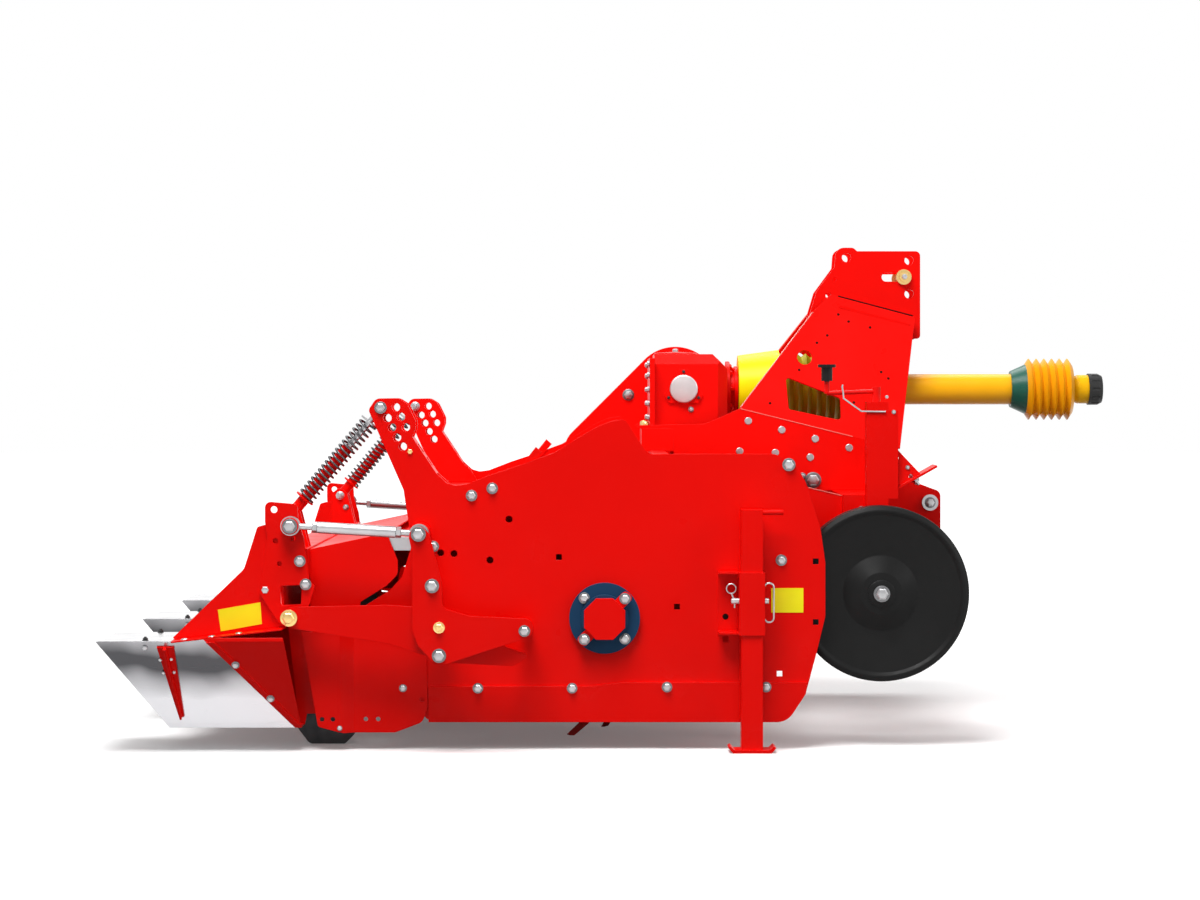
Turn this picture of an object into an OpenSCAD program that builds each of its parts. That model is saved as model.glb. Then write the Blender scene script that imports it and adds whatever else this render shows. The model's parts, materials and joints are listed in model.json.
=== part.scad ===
// Two-row power-driven ridging tiller for a three-point hitch.
// X points to the tractor, Y to the machine's left, Z up; the floor is z = 0.

/* [Overall] */
// Distance between two ridges
row_spacing = 750; // [700:5:800]
// Width over the outer faces of the side plates
side_span = 1490; // [1400:2:1560]
// Height of the rotor axis above the floor
rotor_z = 344; // [340:1:370]
// Thickness of the side plates and arms
plate_t = 10; // [8:1:14]

/* [Rotor] */
// Radius of the tine tips
tine_tip_r = 330; // [300:1:335]
// Radius of the tine flanges
tine_flange_r = 130; // [100:1:160]
// Thickness of a tine flange
tine_flange_t = 10; // [8:1:14]
// Number of tine flanges along the shaft
tine_flanges = 9; // [7:1:11]
// Tines on one flange
tines_each = 4; // [3:1:6]
// Radius of the rotor tube
rotor_tube_r = 57; // [45:1:70]
// Radius of the rotor's journals
journal_r = 30; // [25:1:35]
// Inner radius of the rotor cover
cover_r = 400; // [380:1:410]
// Thickness of the rotor cover
cover_t = 5; // [3:1:8]

/* [Drive] */
// Height of the input shaft above the rotor axis
drive_rise = 601; // [580:1:620]
// Distance of the gearbox output shaft ahead of the rotor axis
drive_ahead = 224; // [215:1:232]
// Half width of the gearbox
gearbox_half = 150; // [120:1:160]
// Width of the drive case on the left side
drive_case_w = 90; // [70:1:110]
// Radius of the drive tube to the left side
drive_tube_r = 50; // [40:1:60]
// Reach of the drive shaft ahead of the rotor axis
pto_reach = 1429; // [1380:1:1480]
// Radius of the drive shaft's guard tube
guard_r = 43.5; // [38:0.5:50]
// Radius of the drive shaft's core
pto_core_r = 20; // [15:1:25]

/* [Headstock] */
// Half distance between the top-link plates, to their outer faces
mast_half = 60; // [50:1:64]
// Radius of the top-link pin
top_pin_r = 12.7; // [11:0.1:16]
// Radius of the lower hitch pins
lower_pin_r = 14; // [12:0.5:18]
// Half distance between the lower hitch pins' middles
hitch_half = 430; // [400:1:450]
// Inner width of a lower hitch fork
hitch_gap = 50; // [44:1:60]
// Half width of the tower at its fold
tower_half = 200; // [180:1:210]
// Thickness of the tower plates
tower_t = 8; // [6:1:10]
// Inward lean of the upper tower plates
tower_lean = 16.5; // [15:0.5:18]

/* [Depth wheels] */
// Radius of a depth wheel
wheel_r = 231; // [210:1:240]
// Width of a depth wheel
wheel_w = 100; // [80:1:110]
// Height of the wheel axle above the rotor axis
axle_rise = 61; // [40:1:80]
// Radius of the wheel axle
axle_r = 15; // [12:1:20]
// Outer width of the wheel column
column_w = 58; // [54:1:64]
// Wall of the wheel column
column_wall = 5; // [4:0.5:6]
// Clearance of sliding square tubes on each side
tube_gap = 0.3; // [0.1:0.1:1]

/* [Stands] */
// Width of a stand leg
leg_w = 56; // [50:1:60]
// Wall of the stand sleeve
sleeve_wall = 5; // [4:0.5:6]
// Length of a stand foot
foot_l = 124; // [100:1:140]
// Height of a stand leg's top above the floor
leg_top = 630; // [560:1:660]

/* [Hood] */
// Distance of the hood's tail behind the rotor axis
hood_tail = 1305; // [1260:1:1350]
// Length of the lower links
lower_link_l = 388; // [380:1:396]
// Length of the tie rods
tie_rod_l = 332; // [326:1:338]
// Rise of the links towards the hood
link_rise = 3.4; // [2:0.1:5]
// Radius of the hood's pivot pins
hood_pin_r = 12; // [10:0.5:14]
// Radial running clearance of all pins
pin_gap = 0.06; // [0.02:0.01:0.1]
// Thickness of the ridge formers
former_t = 4; // [3:0.5:6]
// Half width of a furrow's bottom
furrow_half = 40; // [30:1:50]
// Half width of a furrow former at its top rear edge
furrow_top_half = 150; // [130:1:160]
// Outer radius of the spring coils
spring_r = 25; // [22:0.5:28]
// Wire radius of the springs
spring_wire_r = 3; // [2:0.5:3.5]
// Turns of each spring
spring_turns = 18; // [14:1:20]

/* [Hidden] */

red = [0.84, 0.05, 0.04];
dark_red = [0.55, 0.06, 0.05];
zinc = [0.68, 0.68, 0.70];
steel = [0.78, 0.80, 0.82];
yellow = [0.95, 0.78, 0.05];

$fn = 64;
far = 4000;

// Places are counted from the rotor axis, which lies here in the machine's frame
rotor_x = (hood_tail - pto_reach) / 2;
floor_z = -rotor_z;
side_y = side_span / 2;
inner_y = side_y - plate_t;

// Vector helpers and polygons with rounded corners [x, z, radius]
function unit(v) = v / norm(v);
function wrap(list, i) = list[(i + len(list)) % len(list)];
function flat(p) = [p[0], p[1]];
function corner_arc(a, p, b, r, n = 6) =
    let (u = unit(a - p), v = unit(b - p))
    let (half = acos(max(-1, min(1, u * v))) / 2)
    let (reach = min(r / tan(half), 0.49 * min(norm(a - p), norm(b - p))))
    let (rad = reach * tan(half), mid = p + unit(u + v) * rad / sin(half))
    let (s = p + u * reach - mid, e = p + v * reach - mid)
    let (s_angle = atan2(s[1], s[0]), turn = atan2(e[1], e[0]) - s_angle)
    let (sweep = turn > 180 ? turn - 360 : (turn < -180 ? turn + 360 : turn))
    [for (i = [0:n]) mid + rad * [cos(s_angle + sweep * i / n), sin(s_angle + sweep * i / n)]];
function rounded(list) = [
    for (i = [0:len(list) - 1])
        let (p = list[i])
        each (len(p) < 3 ? [p] : corner_arc(flat(wrap(list, i - 1)), flat(p), flat(wrap(list, i + 1)), p[2]))
];

module from_rotor() {
    translate([rotor_x, 0, rotor_z])
        children();
}

module both_sides() {
    children();
    mirror([0, 1, 0])
        children();
}

module right_side() {
    mirror([0, 1, 0])
        children();
}

// A plate with a side-view outline, between two distances from the centre plane
module plate(outline, y_in, y_out) {
    translate([0, y_out, 0])
        rotate([90, 0, 0])
            linear_extrude(y_out - y_in)
                polygon(rounded(outline));
}

module box(x0, x1, y0, y1, z0, z1) {
    translate([x0, y0, z0])
        cube([x1 - x0, y1 - y0, z1 - z0]);
}

// A round bar across the machine
module bar_y(p, r, y0, y1) {
    translate([p[0], y0, p[1]])
        rotate([-90, 0, 0])
            cylinder(r = r, h = y1 - y0);
}

// A round bar along the machine
module bar_x(x0, x1, y, z, r) {
    translate([x0, y, z])
        rotate([0, 90, 0])
            cylinder(r = r, h = x1 - x0);
}

module bar_z(x, y, z0, z1, r) {
    translate([x, y, z0])
        cylinder(r = r, h = z1 - z0);
}

module holes_y(points, r, y0, y1) {
    for (p = points)
        bar_y(p, r, y0, y1);
}

// A body turned about a line along X, from points [x, radius]
module turned_x(profile, z) {
    translate([0, 0, z])
        rotate([0, 90, 0])
            rotate_extrude()
                polygon([for (p = profile) [p[1], p[0]]]);
}

// Square tube across the machine, given by its side-view middle
module cross_tube(mid, w, half_l, wall) {
    difference() {
        box(mid[0] - w / 2, mid[0] + w / 2, -half_l, half_l, mid[1] - w / 2, mid[1] + w / 2);
        box(mid[0] - w / 2 + wall, mid[0] + w / 2 - wall, wall - half_l, half_l - wall,
            mid[1] - w / 2 + wall, mid[1] + w / 2 - wall);
    }
}

// Side plates with the rising spring arm
arm_back = [[-526, 335], [-618, 544, 14], [-598, 574, 20], [-540, 575, 25], [-516, 560, 20], [-494.6, 516, 8],
    [-494.6, 497, 6], [-503, 473]];
arm_front = [[-439.7, 377.5], [-413, 352.6, 20]];
plate_top = [[-389.5, 346, 20], [-360, 350], [-292, 376.4], [-216, 401.5], [-130, 433, 60], [-35.5, 491.5],
    [14, 514, 30], [54, 520, 18], [82, 476, 30], [113.6, 428, 30], [223, 429], [446, 429, 60],
    [498, 405, 40], [527, 353, 30], [565, 233, 60], [577.6, 144, 60], [577.6, 4, 60], [554, -94, 60],
    [526, -198, 40], [477, -272, 50]];
plate_tail = [[-470, -272, 40], [-504, -160, 60], [-600, -60, 20], [-630, 30], [-561, 73, 20],
    [-530, 107, 20], [-504, 191, 40]];
side_outline = concat(arm_back, arm_front, plate_top, plate_tail);
arm_pin = [-586, 550];
arm_pin_r = 10;
arm_hole_r = 11;
arm_holes = [[-546, 551], [-568, 523], [-533, 526], [-556, 498], [-520, 499], [-543, 472], [-528, 448]];
plate_holes = [[-250, 258], [-394, 168], [-300, 151], [-429, 170]];
plate_hole_r = 9;
square_holes = [[-119.5, 159], [189.4, 29], [552.5, 147.6], [552.5, -11], [316.6, -55.6], [457.8, -146]];
square_w = 15;
rotor_hole_r = 72;

module side_plate() {
    difference() {
        plate(side_outline, inner_y, side_y);
        holes_y(arm_holes, arm_hole_r, inner_y - 1, side_y + 1);
        holes_y(plate_holes, plate_hole_r, inner_y - 1, side_y + 1);
        bar_y([0, 0], rotor_hole_r, inner_y - 1, side_y + 1);
        for (p = square_holes)
            box(p[0] - square_w / 2, p[0] + square_w / 2, inner_y - 1, side_y + 1,
                p[1] - square_w / 2, p[1] + square_w / 2);
    }
}

module side_plate_right() {
    color(red)
        from_rotor()
            right_side()
                side_plate();
}

module side_plate_left() {
    color(red)
        from_rotor()
            side_plate();
}

// Inner arm plates, which hold the spring struts between themselves and the side plates
strut_y = 700;
cheek_y = 2 * strut_y - inner_y;
rear_beam = [-440, 264];
beam_w = 100;
beam_wall = 8;
cheek_foot = [-390, -517];
cheek_outline = concat(arm_back, arm_front, [[cheek_foot[0], rear_beam[1] + beam_w / 2],
    [cheek_foot[1], rear_beam[1] + beam_w / 2]]);

module arm_cheeks() {
    color(red)
        from_rotor()
            both_sides() {
                difference() {
                    plate(cheek_outline, cheek_y - plate_t, cheek_y);
                    holes_y(arm_holes, arm_hole_r, cheek_y - plate_t - 1, cheek_y + 1);
                }
                bar_y(arm_pin, arm_pin_r, cheek_y, inner_y);
                arm_web();
            }
}

// Slotted web that closes the arm towards the tractor
web_t = 8;
web_foot = [-439.7, 377.5];
web_head = [-503, 473];
web_slots = [24, 66];
web_slot_l = 26;
web_slot_w = 18;

module arm_web() {
    along = unit(web_head - web_foot);
    back = [-along[1], along[0]] * web_t;
    difference() {
        plate([web_foot, web_head, web_head + back, web_foot + back], cheek_y, inner_y);
        for (d = web_slots)
            plate([web_foot + along * d - back, web_foot + along * (d + web_slot_l) - back,
                web_foot + along * (d + web_slot_l) + 2 * back, web_foot + along * d + 2 * back],
                strut_y - web_slot_w, strut_y + web_slot_w);
    }
}

// Rotor cover with its tail sheet towards the hood
cover_front = 20;
cover_rear = 148;
tail_end = [-640, 190];

module rotor_cover() {
    tail_start = cover_r * [cos(cover_rear), sin(cover_rear)];
    color(red)
        from_rotor() {
            intersection() {
                difference() {
                    bar_y([0, 0], cover_r + cover_t, -inner_y, inner_y);
                    bar_y([0, 0], cover_r, -far, far);
                }
                plate([[0, 0], far * [cos(cover_front), sin(cover_front)], [far, far], [-far, far],
                    far * [cos(cover_rear), sin(cover_rear)]], -inner_y, inner_y);
            }
            difference() {
                plate([tail_start, tail_start * (cover_r + cover_t) / cover_r, tail_end + [0, cover_t],
                    tail_end], -inner_y, inner_y);
                right_side()
                    box(tail_end[0] - 1, box_front + 3, inner_y - box_w - 2, inner_y + 1, 150, 250);
            }
        }
}

// Cross beams between the side plates and the hitch beam ahead of them
front_beam = [450, 350];
mid_beam = [150, 407];
mid_beam_w = 40;
mid_beam_wall = 5;
riser_w = 90;
riser_top = 490;
hitch_beam = [700, 256];
hitch_beam_w = 120;
column_y = 575;

rail_outline = [[500, 396], [548, 334], [640, 312], [640, 200], [566, 212, 40], [500, 304]];
rail_gap = 60;
rail_y = 480;

module cross_beams() {
    color(red)
        from_rotor() {
            both_sides()
                for (y = [rail_y - rail_gap / 2, rail_y + rail_gap / 2])
                    plate(rail_outline, y - plate_t / 2, y + plate_t / 2);
            cross_tube(rear_beam, beam_w, inner_y, beam_wall);
            cross_tube(front_beam, beam_w, inner_y, beam_wall);
            cross_tube(mid_beam, mid_beam_w, inner_y, mid_beam_wall);
            riser();
            cross_tube(hitch_beam, hitch_beam_w, column_y - column_w / 2, beam_wall);
        }
}

// Hollow riser between the middle beam, the tower plates and the gearbox
module riser() {
    x0 = mid_beam[0] - riser_w / 2;
    x1 = mid_beam[0] + riser_w / 2;
    low = mid_beam[1] + mid_beam_w / 2 - 1;
    wall = mid_beam_wall;
    difference() {
        box(x0, x1, -tower_half, tower_half, low, riser_top);
        box(x0 + wall, x1 - wall, wall - tower_half, tower_half - wall, low - 1, riser_top - wall);
    }
}

// Strips along the lower edge of the side plates
strip_t = 8;
strip_outline = [[-460, -272], [-460, -178, 6], [-25, -178, 12], [48, -168, 12], [530, -168], [526, -198],
    [477, -272, 50]];

module wear_strips() {
    color(red)
        from_rotor()
            both_sides()
                plate(strip_outline, side_y, side_y + strip_t);
}

// Joggled plates behind the side plates
extension_t = 6;
joggle = 25;
extension_back = -791;
extension_front = -462;
joggle_x = [-692, -658];
extension_outline = [[extension_back, -34], [-747, -281, 10], [-680, -299], [-547, -299, 30],
    [-476, -272, 24], [extension_front, -233, 20], [-466, -34]];
extension_holes = [[-736, -262], [-708, -262], [-624, -264], [-592, -264], [-477, -213]];

module extension_plates() {
    far_y = side_y + joggle;
    color(red)
        from_rotor()
            both_sides()
                difference() {
                    intersection() {
                        plate(extension_outline, side_y - 1, far_y + extension_t + 1);
                        translate([0, 0, -far])
                            linear_extrude(2 * far)
                                polygon([[extension_back, far_y], [joggle_x[0], far_y],
                                    [joggle_x[1], side_y], [extension_front, side_y],
                                    [extension_front, side_y + extension_t],
                                    [joggle_x[1] + 2, side_y + extension_t],
                                    [joggle_x[0] + 2, far_y + extension_t],
                                    [extension_back, far_y + extension_t]]);
                    }
                    holes_y(extension_holes, 6, side_y - 1, far_y + extension_t + 1);
                }
}

// Small folded steel box behind the right arm
box_front = -497;
box_w = 44;

module folded_box() {
    color(zinc)
        from_rotor()
            right_side()
                difference() {
                    plate([[-565, 215], [box_front, 206], [box_front, 176], [-558, 176]],
                        inner_y - box_w, inner_y);
                    plate([[-561, 211], [box_front - 3, 203], [box_front - 3, 180], [-554, 180]],
                        inner_y - box_w + 3, inner_y - 3);
                }
}

// Linkage of the hood: A and B on the chassis, C and D on the hood
pivot_a = [-425, -14];
pivot_b = [-478, 226];
link_dir = [-cos(link_rise), sin(link_rise)];
pivot_c = pivot_a + lower_link_l * link_dir;
pivot_d = pivot_b + tie_rod_l * link_dir;
link_y = 858;
link_t = 12;
lever_y = 880;
eye_w = 20;
lever_outline = [[-505, 226, 26], [-478, 253, 26], [-450, 226, 26], [-418, 101], [-416, 36, 20], [-349,
    16], [-187, 8, 20],
    [-184, -35, 20], [-400, -106, 12], [-422, -113, 8], [-440, -104, 12], [-479, -61, 20], [-494, -20, 20],
        [-494, 180]];
lever_spacers = [[-443, 93], [-204.4, -22.5]];
spacer_r = 16;

module lever_plates() {
    color(red)
        from_rotor()
            both_sides() {
                plate(lever_outline, lever_y, lever_y + plate_t);
                holes_y(lever_spacers, spacer_r, side_y, lever_y);
                for (p = [pivot_a, pivot_b])
                    bar_y(p, hood_pin_r, side_y, lever_y);
                bar_y(pivot_a, 2 * hood_pin_r, side_y, link_y - link_t / 2 - 1);
                bar_y(pivot_b, 2 * hood_pin_r, side_y, link_y - eye_w / 2 - 1);
            }
}

// Flanged bearing of the rotor on the right side
bearing_r = 92.5;
bearing_t = 16;
bearing_hub_r = 62;
bearing_w = 30;
bearing_gap = 0.05;
bearing_bolt_pcd = 150;

module bearing() {
    color([0.10, 0.20, 0.36])
        from_rotor()
            right_side()
                difference() {
                    union() {
                        bar_y([0, 0], bearing_r, side_y, side_y + bearing_t);
                        bar_y([0, 0], bearing_hub_r, side_y, side_y + bearing_w);
                    }
                    bar_y([0, 0], journal_r + bearing_gap, side_y - 1, side_y + bearing_w + 1);
                    for (a = [45:90:315])
                        bar_y(bearing_bolt_pcd / 2 * [cos(a), sin(a)], 7, side_y - 1, side_y + bearing_t + 1);
                }
}

// Eight-sided cap over the bearing, held by two of its bolts
cap_t = 16;

module bearing_cap() {
    cap_y = side_y + bearing_w;
    color(red)
        from_rotor()
            right_side() {
                translate([0, cap_y + cap_t, 0])
                    rotate([90, 22.5, 0])
                        cylinder(r = 58, h = cap_t, $fn = 8);
                for (a = [45, 225])
                    difference() {
                        cap_ear(a, cap_y);
                        bar_y(bearing_bolt_pcd / 2 * [cos(a), sin(a)], 7, side_y, cap_y + cap_t);
                    }
            }
}

module cap_ear(a, cap_y) {
    rotate([0, -a, 0])
        difference() {
            plate([[40, -15], [92, -15, 12], [92, 15, 12], [40, 15]], cap_y, cap_y + 6);
            translate([0, cap_y + 7, 0])
                rotate([90, 22.5 + a, 0])
                    cylinder(r = 58, h = 8, $fn = 8);
        }
}

// Case with the drive down to the rotor, on the left side
case_top_r = 136;
case_foot_r = 150;
case_outline = [[drive_ahead - 96, drive_rise + 96], [-122, 447, 80], [-case_foot_r, 0], [case_foot_r, 0],
    [drive_ahead + case_top_r, drive_rise]];

case_rim = 22;
lid_t = 6;
lid_outline = [[drive_ahead - 80.4, drive_rise + 80.4], [-100.5, 437, 60], [case_rim - case_foot_r, 0],
    [case_foot_r - case_rim + 1, 7], [drive_ahead + case_top_r - case_rim + 1, drive_rise + 7]];
axle_boss_r = 46;

module drive_case() {
    outer = side_y + drive_case_w;
    color(red)
        from_rotor()
            difference() {
                union() {
                    plate(case_outline, side_y, outer);
                    bar_y([drive_ahead, drive_rise], case_top_r, side_y, outer);
                    bar_y([0, 0], case_foot_r, side_y, outer);
                    plate(lid_outline, outer, outer + lid_t);
                    bar_y([drive_ahead, drive_rise], case_top_r - case_rim, outer, outer + lid_t);
                    bar_y([0, 0], case_foot_r - case_rim, outer, outer + lid_t);
                    for (p = [[drive_ahead, drive_rise], [0, 0]])
                        bar_y(p, axle_boss_r, outer, outer + 2 * lid_t);
                }
                bar_y([0, 0], journal_r + bearing_gap, side_y - 1, side_y + 62);
            }
}

module drive_tube() {
    color(red)
        from_rotor() {
            bar_y([drive_ahead, drive_rise], drive_tube_r, gearbox_half, side_y);
            bar_y([drive_ahead, drive_rise], drive_tube_r + 30, gearbox_half, gearbox_half + 15);
            bar_y([drive_ahead, drive_rise], drive_tube_r + 30, side_y - 15, side_y);
        }
}

// Angle gearbox between the tower plates
gear_back = 142;
gear_front = 349;
gear_low = riser_top;
gear_top = 700;
gear_chamfer = 28;
neck_r = 56;
neck_end = 384;

module gearbox() {
    c = gear_chamfer;
    color(red)
        from_rotor() {
            intersection() {
                plate([[gear_back, gear_low], [gear_front, gear_low], [gear_front, gear_top - 1.5 * c],
                    [gear_front - 1.5 * c, gear_top], [gear_back, gear_top]], -gearbox_half, gearbox_half);
                translate([gear_back, 0, 0])
                    rotate([90, 0, 90])
                        linear_extrude(gear_front - gear_back)
                            polygon([[-gearbox_half, gear_low], [gearbox_half, gear_low], [gearbox_half,
                                gear_top - c],
                                [gearbox_half - c, gear_top], [c - gearbox_half, gear_top],
                                [-gearbox_half, gear_top - c]]);
                translate([0, 0, gear_low])
                    linear_extrude(gear_top - gear_low)
                        polygon([[gear_back, -gearbox_half], [gear_front - c, -gearbox_half],
                            [gear_front, c - gearbox_half], [gear_front, gearbox_half - c],
                            [gear_front - c, gearbox_half], [gear_back, gearbox_half]]);
            }
            bar_x(gear_front, neck_end, 0, drive_rise, neck_r);
            box(gear_back - 14, gear_back, tower_t - tower_half, tower_half - tower_t,
                gear_low, gear_top - 12);
        }
}

// Cover plate over the gearbox's unused side shaft
module gearbox_cover() {
    ear_r = 58;
    color(red)
        from_rotor()
            right_side()
                translate([drive_ahead, gearbox_half, drive_rise]) {
                    plate([for (a = [90, 210, 330], s = [-13, 13])
                        [ear_r * cos(a + s), ear_r * sin(a + s), 8]], 0, 6);
                    bar_y([0, 0], 36, 6, 10);
                }
}

// Tower plates: upright below a slanting fold, leaning inwards above it
fold_start = [380, 546];
fold_slope = 13.94;
tower_back = 92;
tower_front = 822;
hitch_top = hitch_beam[1] + hitch_beam_w / 2;
front_top = front_beam[1] + beam_w / 2;
front_side = front_beam[0] + beam_w / 2;
riser_side = mid_beam[0] + riser_w / 2;
tower_low_outline = [[tower_back, 499, 10], [283, 503, 40], fold_start, [tower_front, 436],
    [tower_front, hitch_top], [front_side, hitch_top], [front_side, front_top], [riser_side, front_top],
    [riser_side, riser_top], [tower_back, riser_top]];
tower_top_outline = [[0, 0], [141, 333, 10], [179, 396, 20], [428, 392, 14], [433, 324], [464, 0]];
tower_window = [[106, 124, 8], [269, 101, 10], [285, 38, 10], [135, 33, 8]];

module tower_side() {
    difference() {
        union() {
            plate(tower_low_outline, tower_half - tower_t, tower_half);
            translate([fold_start[0], tower_half, fold_start[1]])
                rotate([0, fold_slope, 0])
                    rotate([tower_lean, 0, 0])
                        difference() {
                            plate(tower_top_outline, -tower_t, 0);
                            plate(tower_window, -tower_t - 1, 1);
                            bar_y([146, 193], 21, -tower_t - 1, 1);
                        }
        }
    }
}

module tower() {
    color(red)
        from_rotor() {
            both_sides()
                tower_side();
            difference() {
                tower_cap();
                both_sides() {
                    tower_side();
                    box(0, far, mast_half - tower_t, mast_half, 0, far);
                }
            }
        }
}

// Cap between the two leaning plates, cut where the mast plates pass
cap_half = 98;
cap_outline = [[668, 840], [870, 786], [868, 778], [666, 832]];

module tower_cap() {
    plate(cap_outline, -cap_half, cap_half);
}

// Mast plates with the top-link holes
top_pin = [855, 921];
mast_outline = [[586, 812, 20], [606, 879, 20], [658, 950, 10], [662, 1005, 24], [712, 1005, 24], [722,
    995], [902.5, 995, 14],
    [902.5, 745, 10], [640, 745, 30]];
mast_holes = [[692, 977], [870.6, 969], [870.6, 873]];
mast_small_holes = [[658, 914, 5], [640, 868, 8]];
mast_ties = [[690, 905], [690, 800]];
mast_tie_r = 12;
slot_l = 50;

module mast() {
    y0 = mast_half - tower_t;
    color(red)
        from_rotor()
            both_sides()
                difference() {
                    plate(mast_outline, y0, mast_half);
                    holes_y(mast_holes, top_pin_r + 0.3, y0 - 1, mast_half + 1);
                    bar_y(top_pin, top_pin_r, y0 - 1, mast_half + 1);
                    bar_y([top_pin[0] - slot_l, top_pin[1]], top_pin_r, y0 - 1, mast_half + 1);
                    box(top_pin[0] - slot_l, top_pin[0], y0 - 1, mast_half + 1,
                        top_pin[1] - top_pin_r, top_pin[1] + top_pin_r);
                    for (p = mast_small_holes)
                        bar_y(p, p[2], y0 - 1, mast_half + 1);
                }
    color(red)
        from_rotor()
            holes_y(mast_ties, mast_tie_r, -y0, y0);
}

module top_link_pin() {
    color([0.75, 0.60, 0.25])
        from_rotor() {
            bar_y(top_pin, top_pin_r, -mast_half - 24, mast_half + 24);
            bar_y(top_pin, top_pin_r + 9, -mast_half - 10, -mast_half);
            bar_y(top_pin, top_pin_r + 9, mast_half, mast_half + 10);
        }
}

// Forks for the tractor's lower links
hitch_pin = [883, 292];
hitch_front = 912;
hitch_t = 10;
beam_front = hitch_beam[0] + hitch_beam_w / 2;
hitch_outline = [[beam_front, 150], [850, 150, 30], [hitch_front, 205, 20], [hitch_front, 322, 28], [886,
    331, 10],
    [834, 351, 10], [beam_front, 316]];

module hitch_plates() {
    color(red)
        from_rotor()
            both_sides()
                for (y = [hitch_half - hitch_gap / 2 - hitch_t, hitch_half + hitch_gap / 2])
                    difference() {
                        plate(hitch_outline, y, y + hitch_t);
                        bar_y(hitch_pin, lower_pin_r, y - 1, y + hitch_t + 1);
                    }
}

module hitch_pins() {
    out = hitch_gap / 2 + hitch_t;
    color(zinc)
        from_rotor()
            both_sides() {
                bar_y(hitch_pin, lower_pin_r, hitch_half - out - 12, hitch_half + out);
                bar_y(hitch_pin, lower_pin_r + 8, hitch_half + out, hitch_half + out + 10);
            }
}

// Columns in which the wheel legs slide, with the crank on top
column_x = 728;
column_low = 216;
column_top = 559;

module square_tube(x, y, w, hole_w, z0, z1) {
    difference() {
        box(x - w / 2, x + w / 2, y - w / 2, y + w / 2, z0, z1);
        box(x - hole_w / 2, x + hole_w / 2, y - hole_w / 2, y + hole_w / 2, z0 - 1, z1 + 1);
    }
}

strip_reach = 26;
strip_rise = 90;

module wheel_columns() {
    w = column_w;
    color(red)
        from_rotor()
            both_sides() {
                square_tube(column_x, column_y, w, w - 2 * column_wall, column_low, column_top);
                box(column_x - w / 2, column_x + w / 2, column_y - w / 2, column_y + w / 2, column_top,
                    column_top + 6);
                box(column_x + w / 2, column_x + w / 2 + strip_reach, column_y + w / 2 - 6, column_y + w / 2,
                    column_low + strip_rise, column_top - 16);
            }
}

// Slanting brackets in front of the columns, with a hole plate on each
slant_low = [728, 300];
slant_high = [889, 391];
slant_t = 6;
slant_half = 50;
slant_holes = [[780, 415], [818, 366]];

module column_brackets() {
    along = unit(slant_high - slant_low);
    up = [-along[1], along[0]] * slant_t;
    front = column_x + column_w / 2;
    foot = slant_low + along * (front - slant_low[0]) / along[0];
    crown = foot + [0, slant_t / along[0]];
    outer = column_y + column_w / 2 - slant_t;
    color(red)
        from_rotor()
            both_sides() {
                plate([foot, slant_high, slant_high + up, crown], outer - 2 * slant_half, outer);
                difference() {
                    plate([crown, crown + [0, 130], crown + [22, 118, 10], crown + along * 100],
                        column_y + 8, column_y + 14);
                    holes_y(slant_holes, 6, column_y, column_y + 20);
                }
            }
}

crank_reach = 133;

module wheel_cranks() {
    z0 = column_top + 6;
    color(red)
        from_rotor()
            both_sides() {
                bar_z(column_x, column_y, z0, z0 + 40, 11);
                translate([column_x, column_y, z0 + 28])
                    rotate([0, -92, 0])
                        cylinder(r = 6, h = crank_reach);
                bar_z(column_x - crank_reach, column_y, z0 + 22, z0 + 56, 7);
                bar_z(column_x - crank_reach, column_y, z0 + 56, z0 + 92, 15);
                bar_z(column_x - crank_reach, column_y, z0 + 92, z0 + 100, 24);
            }
}

// Sleeves of the stand legs, bolted to the side plates
stand_x = 382;
stand_y = 796;
sleeve_w = leg_w + 2 * tube_gap + 2 * sleeve_wall;
sleeve_low = -40;
sleeve_top = 123;
bracket_back = 296;

module stand_sleeves() {
    inner = stand_y - sleeve_w / 2;
    left = stand_x - sleeve_w / 2;
    color(red)
        from_rotor()
            both_sides() {
                square_tube(stand_x, stand_y, sleeve_w, sleeve_w - 2 * sleeve_wall, sleeve_low, sleeve_top);
                for (x = [left + 6, stand_x + sleeve_w / 2 - 14])
                    box(x, x + 8, side_y, inner, sleeve_low, sleeve_top);
                box(bracket_back, left, side_y, side_y + 6, sleeve_low, sleeve_top);
                for (z = [sleeve_low, sleeve_top - 6])
                    box(bracket_back, left, side_y + 6, stand_y, z, z + 6);
            }
}

// Guard cone round the input shaft and the guard tube with its bellows
cone_back = neck_end;
cone_front = 500;
cone_back_r = 97;
cone_front_r = 113;
cone_t = 4;
bellows_back_r = 86;
bellows_front_x = 690;
tube_end = pto_reach - 262;
collar_end = pto_reach - 220;
front_bellows = [pto_reach - 234, pto_reach - 87];
front_bellows_r = 88;
yoke_x = [pto_reach - 81, pto_reach - 39];
guard_bore_r = guard_r - 4;

module pto_cone() {
    color(yellow)
        from_rotor()
            turned_x([[cone_back, 25], [cone_back, cone_back_r], [cone_front, cone_front_r],
                [cone_front, cone_front_r - cone_t], [cone_back + cone_t, cone_back_r - cone_t],
                    [cone_back + cone_t, 25]],
                drive_rise);
}

// Points of a ribbed sleeve from x0 to x1 between two radii
function ribs(x0, x1, r_low, r_high, n) = [
    for (i = [0:2 * n]) [x0 + (x1 - x0) * i / (2 * n), i % 2 == 0 ? r_low : r_high]
];

module pto_guard() {
    color(yellow)
        from_rotor()
            turned_x(concat([[cone_back + cone_t, guard_bore_r]],
                ribs(cone_back + cone_t, bellows_front_x, bellows_back_r - 14, bellows_back_r, 10),
                [[bellows_front_x, guard_r], [tube_end, guard_r], [tube_end, guard_bore_r]]), drive_rise);
}

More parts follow.
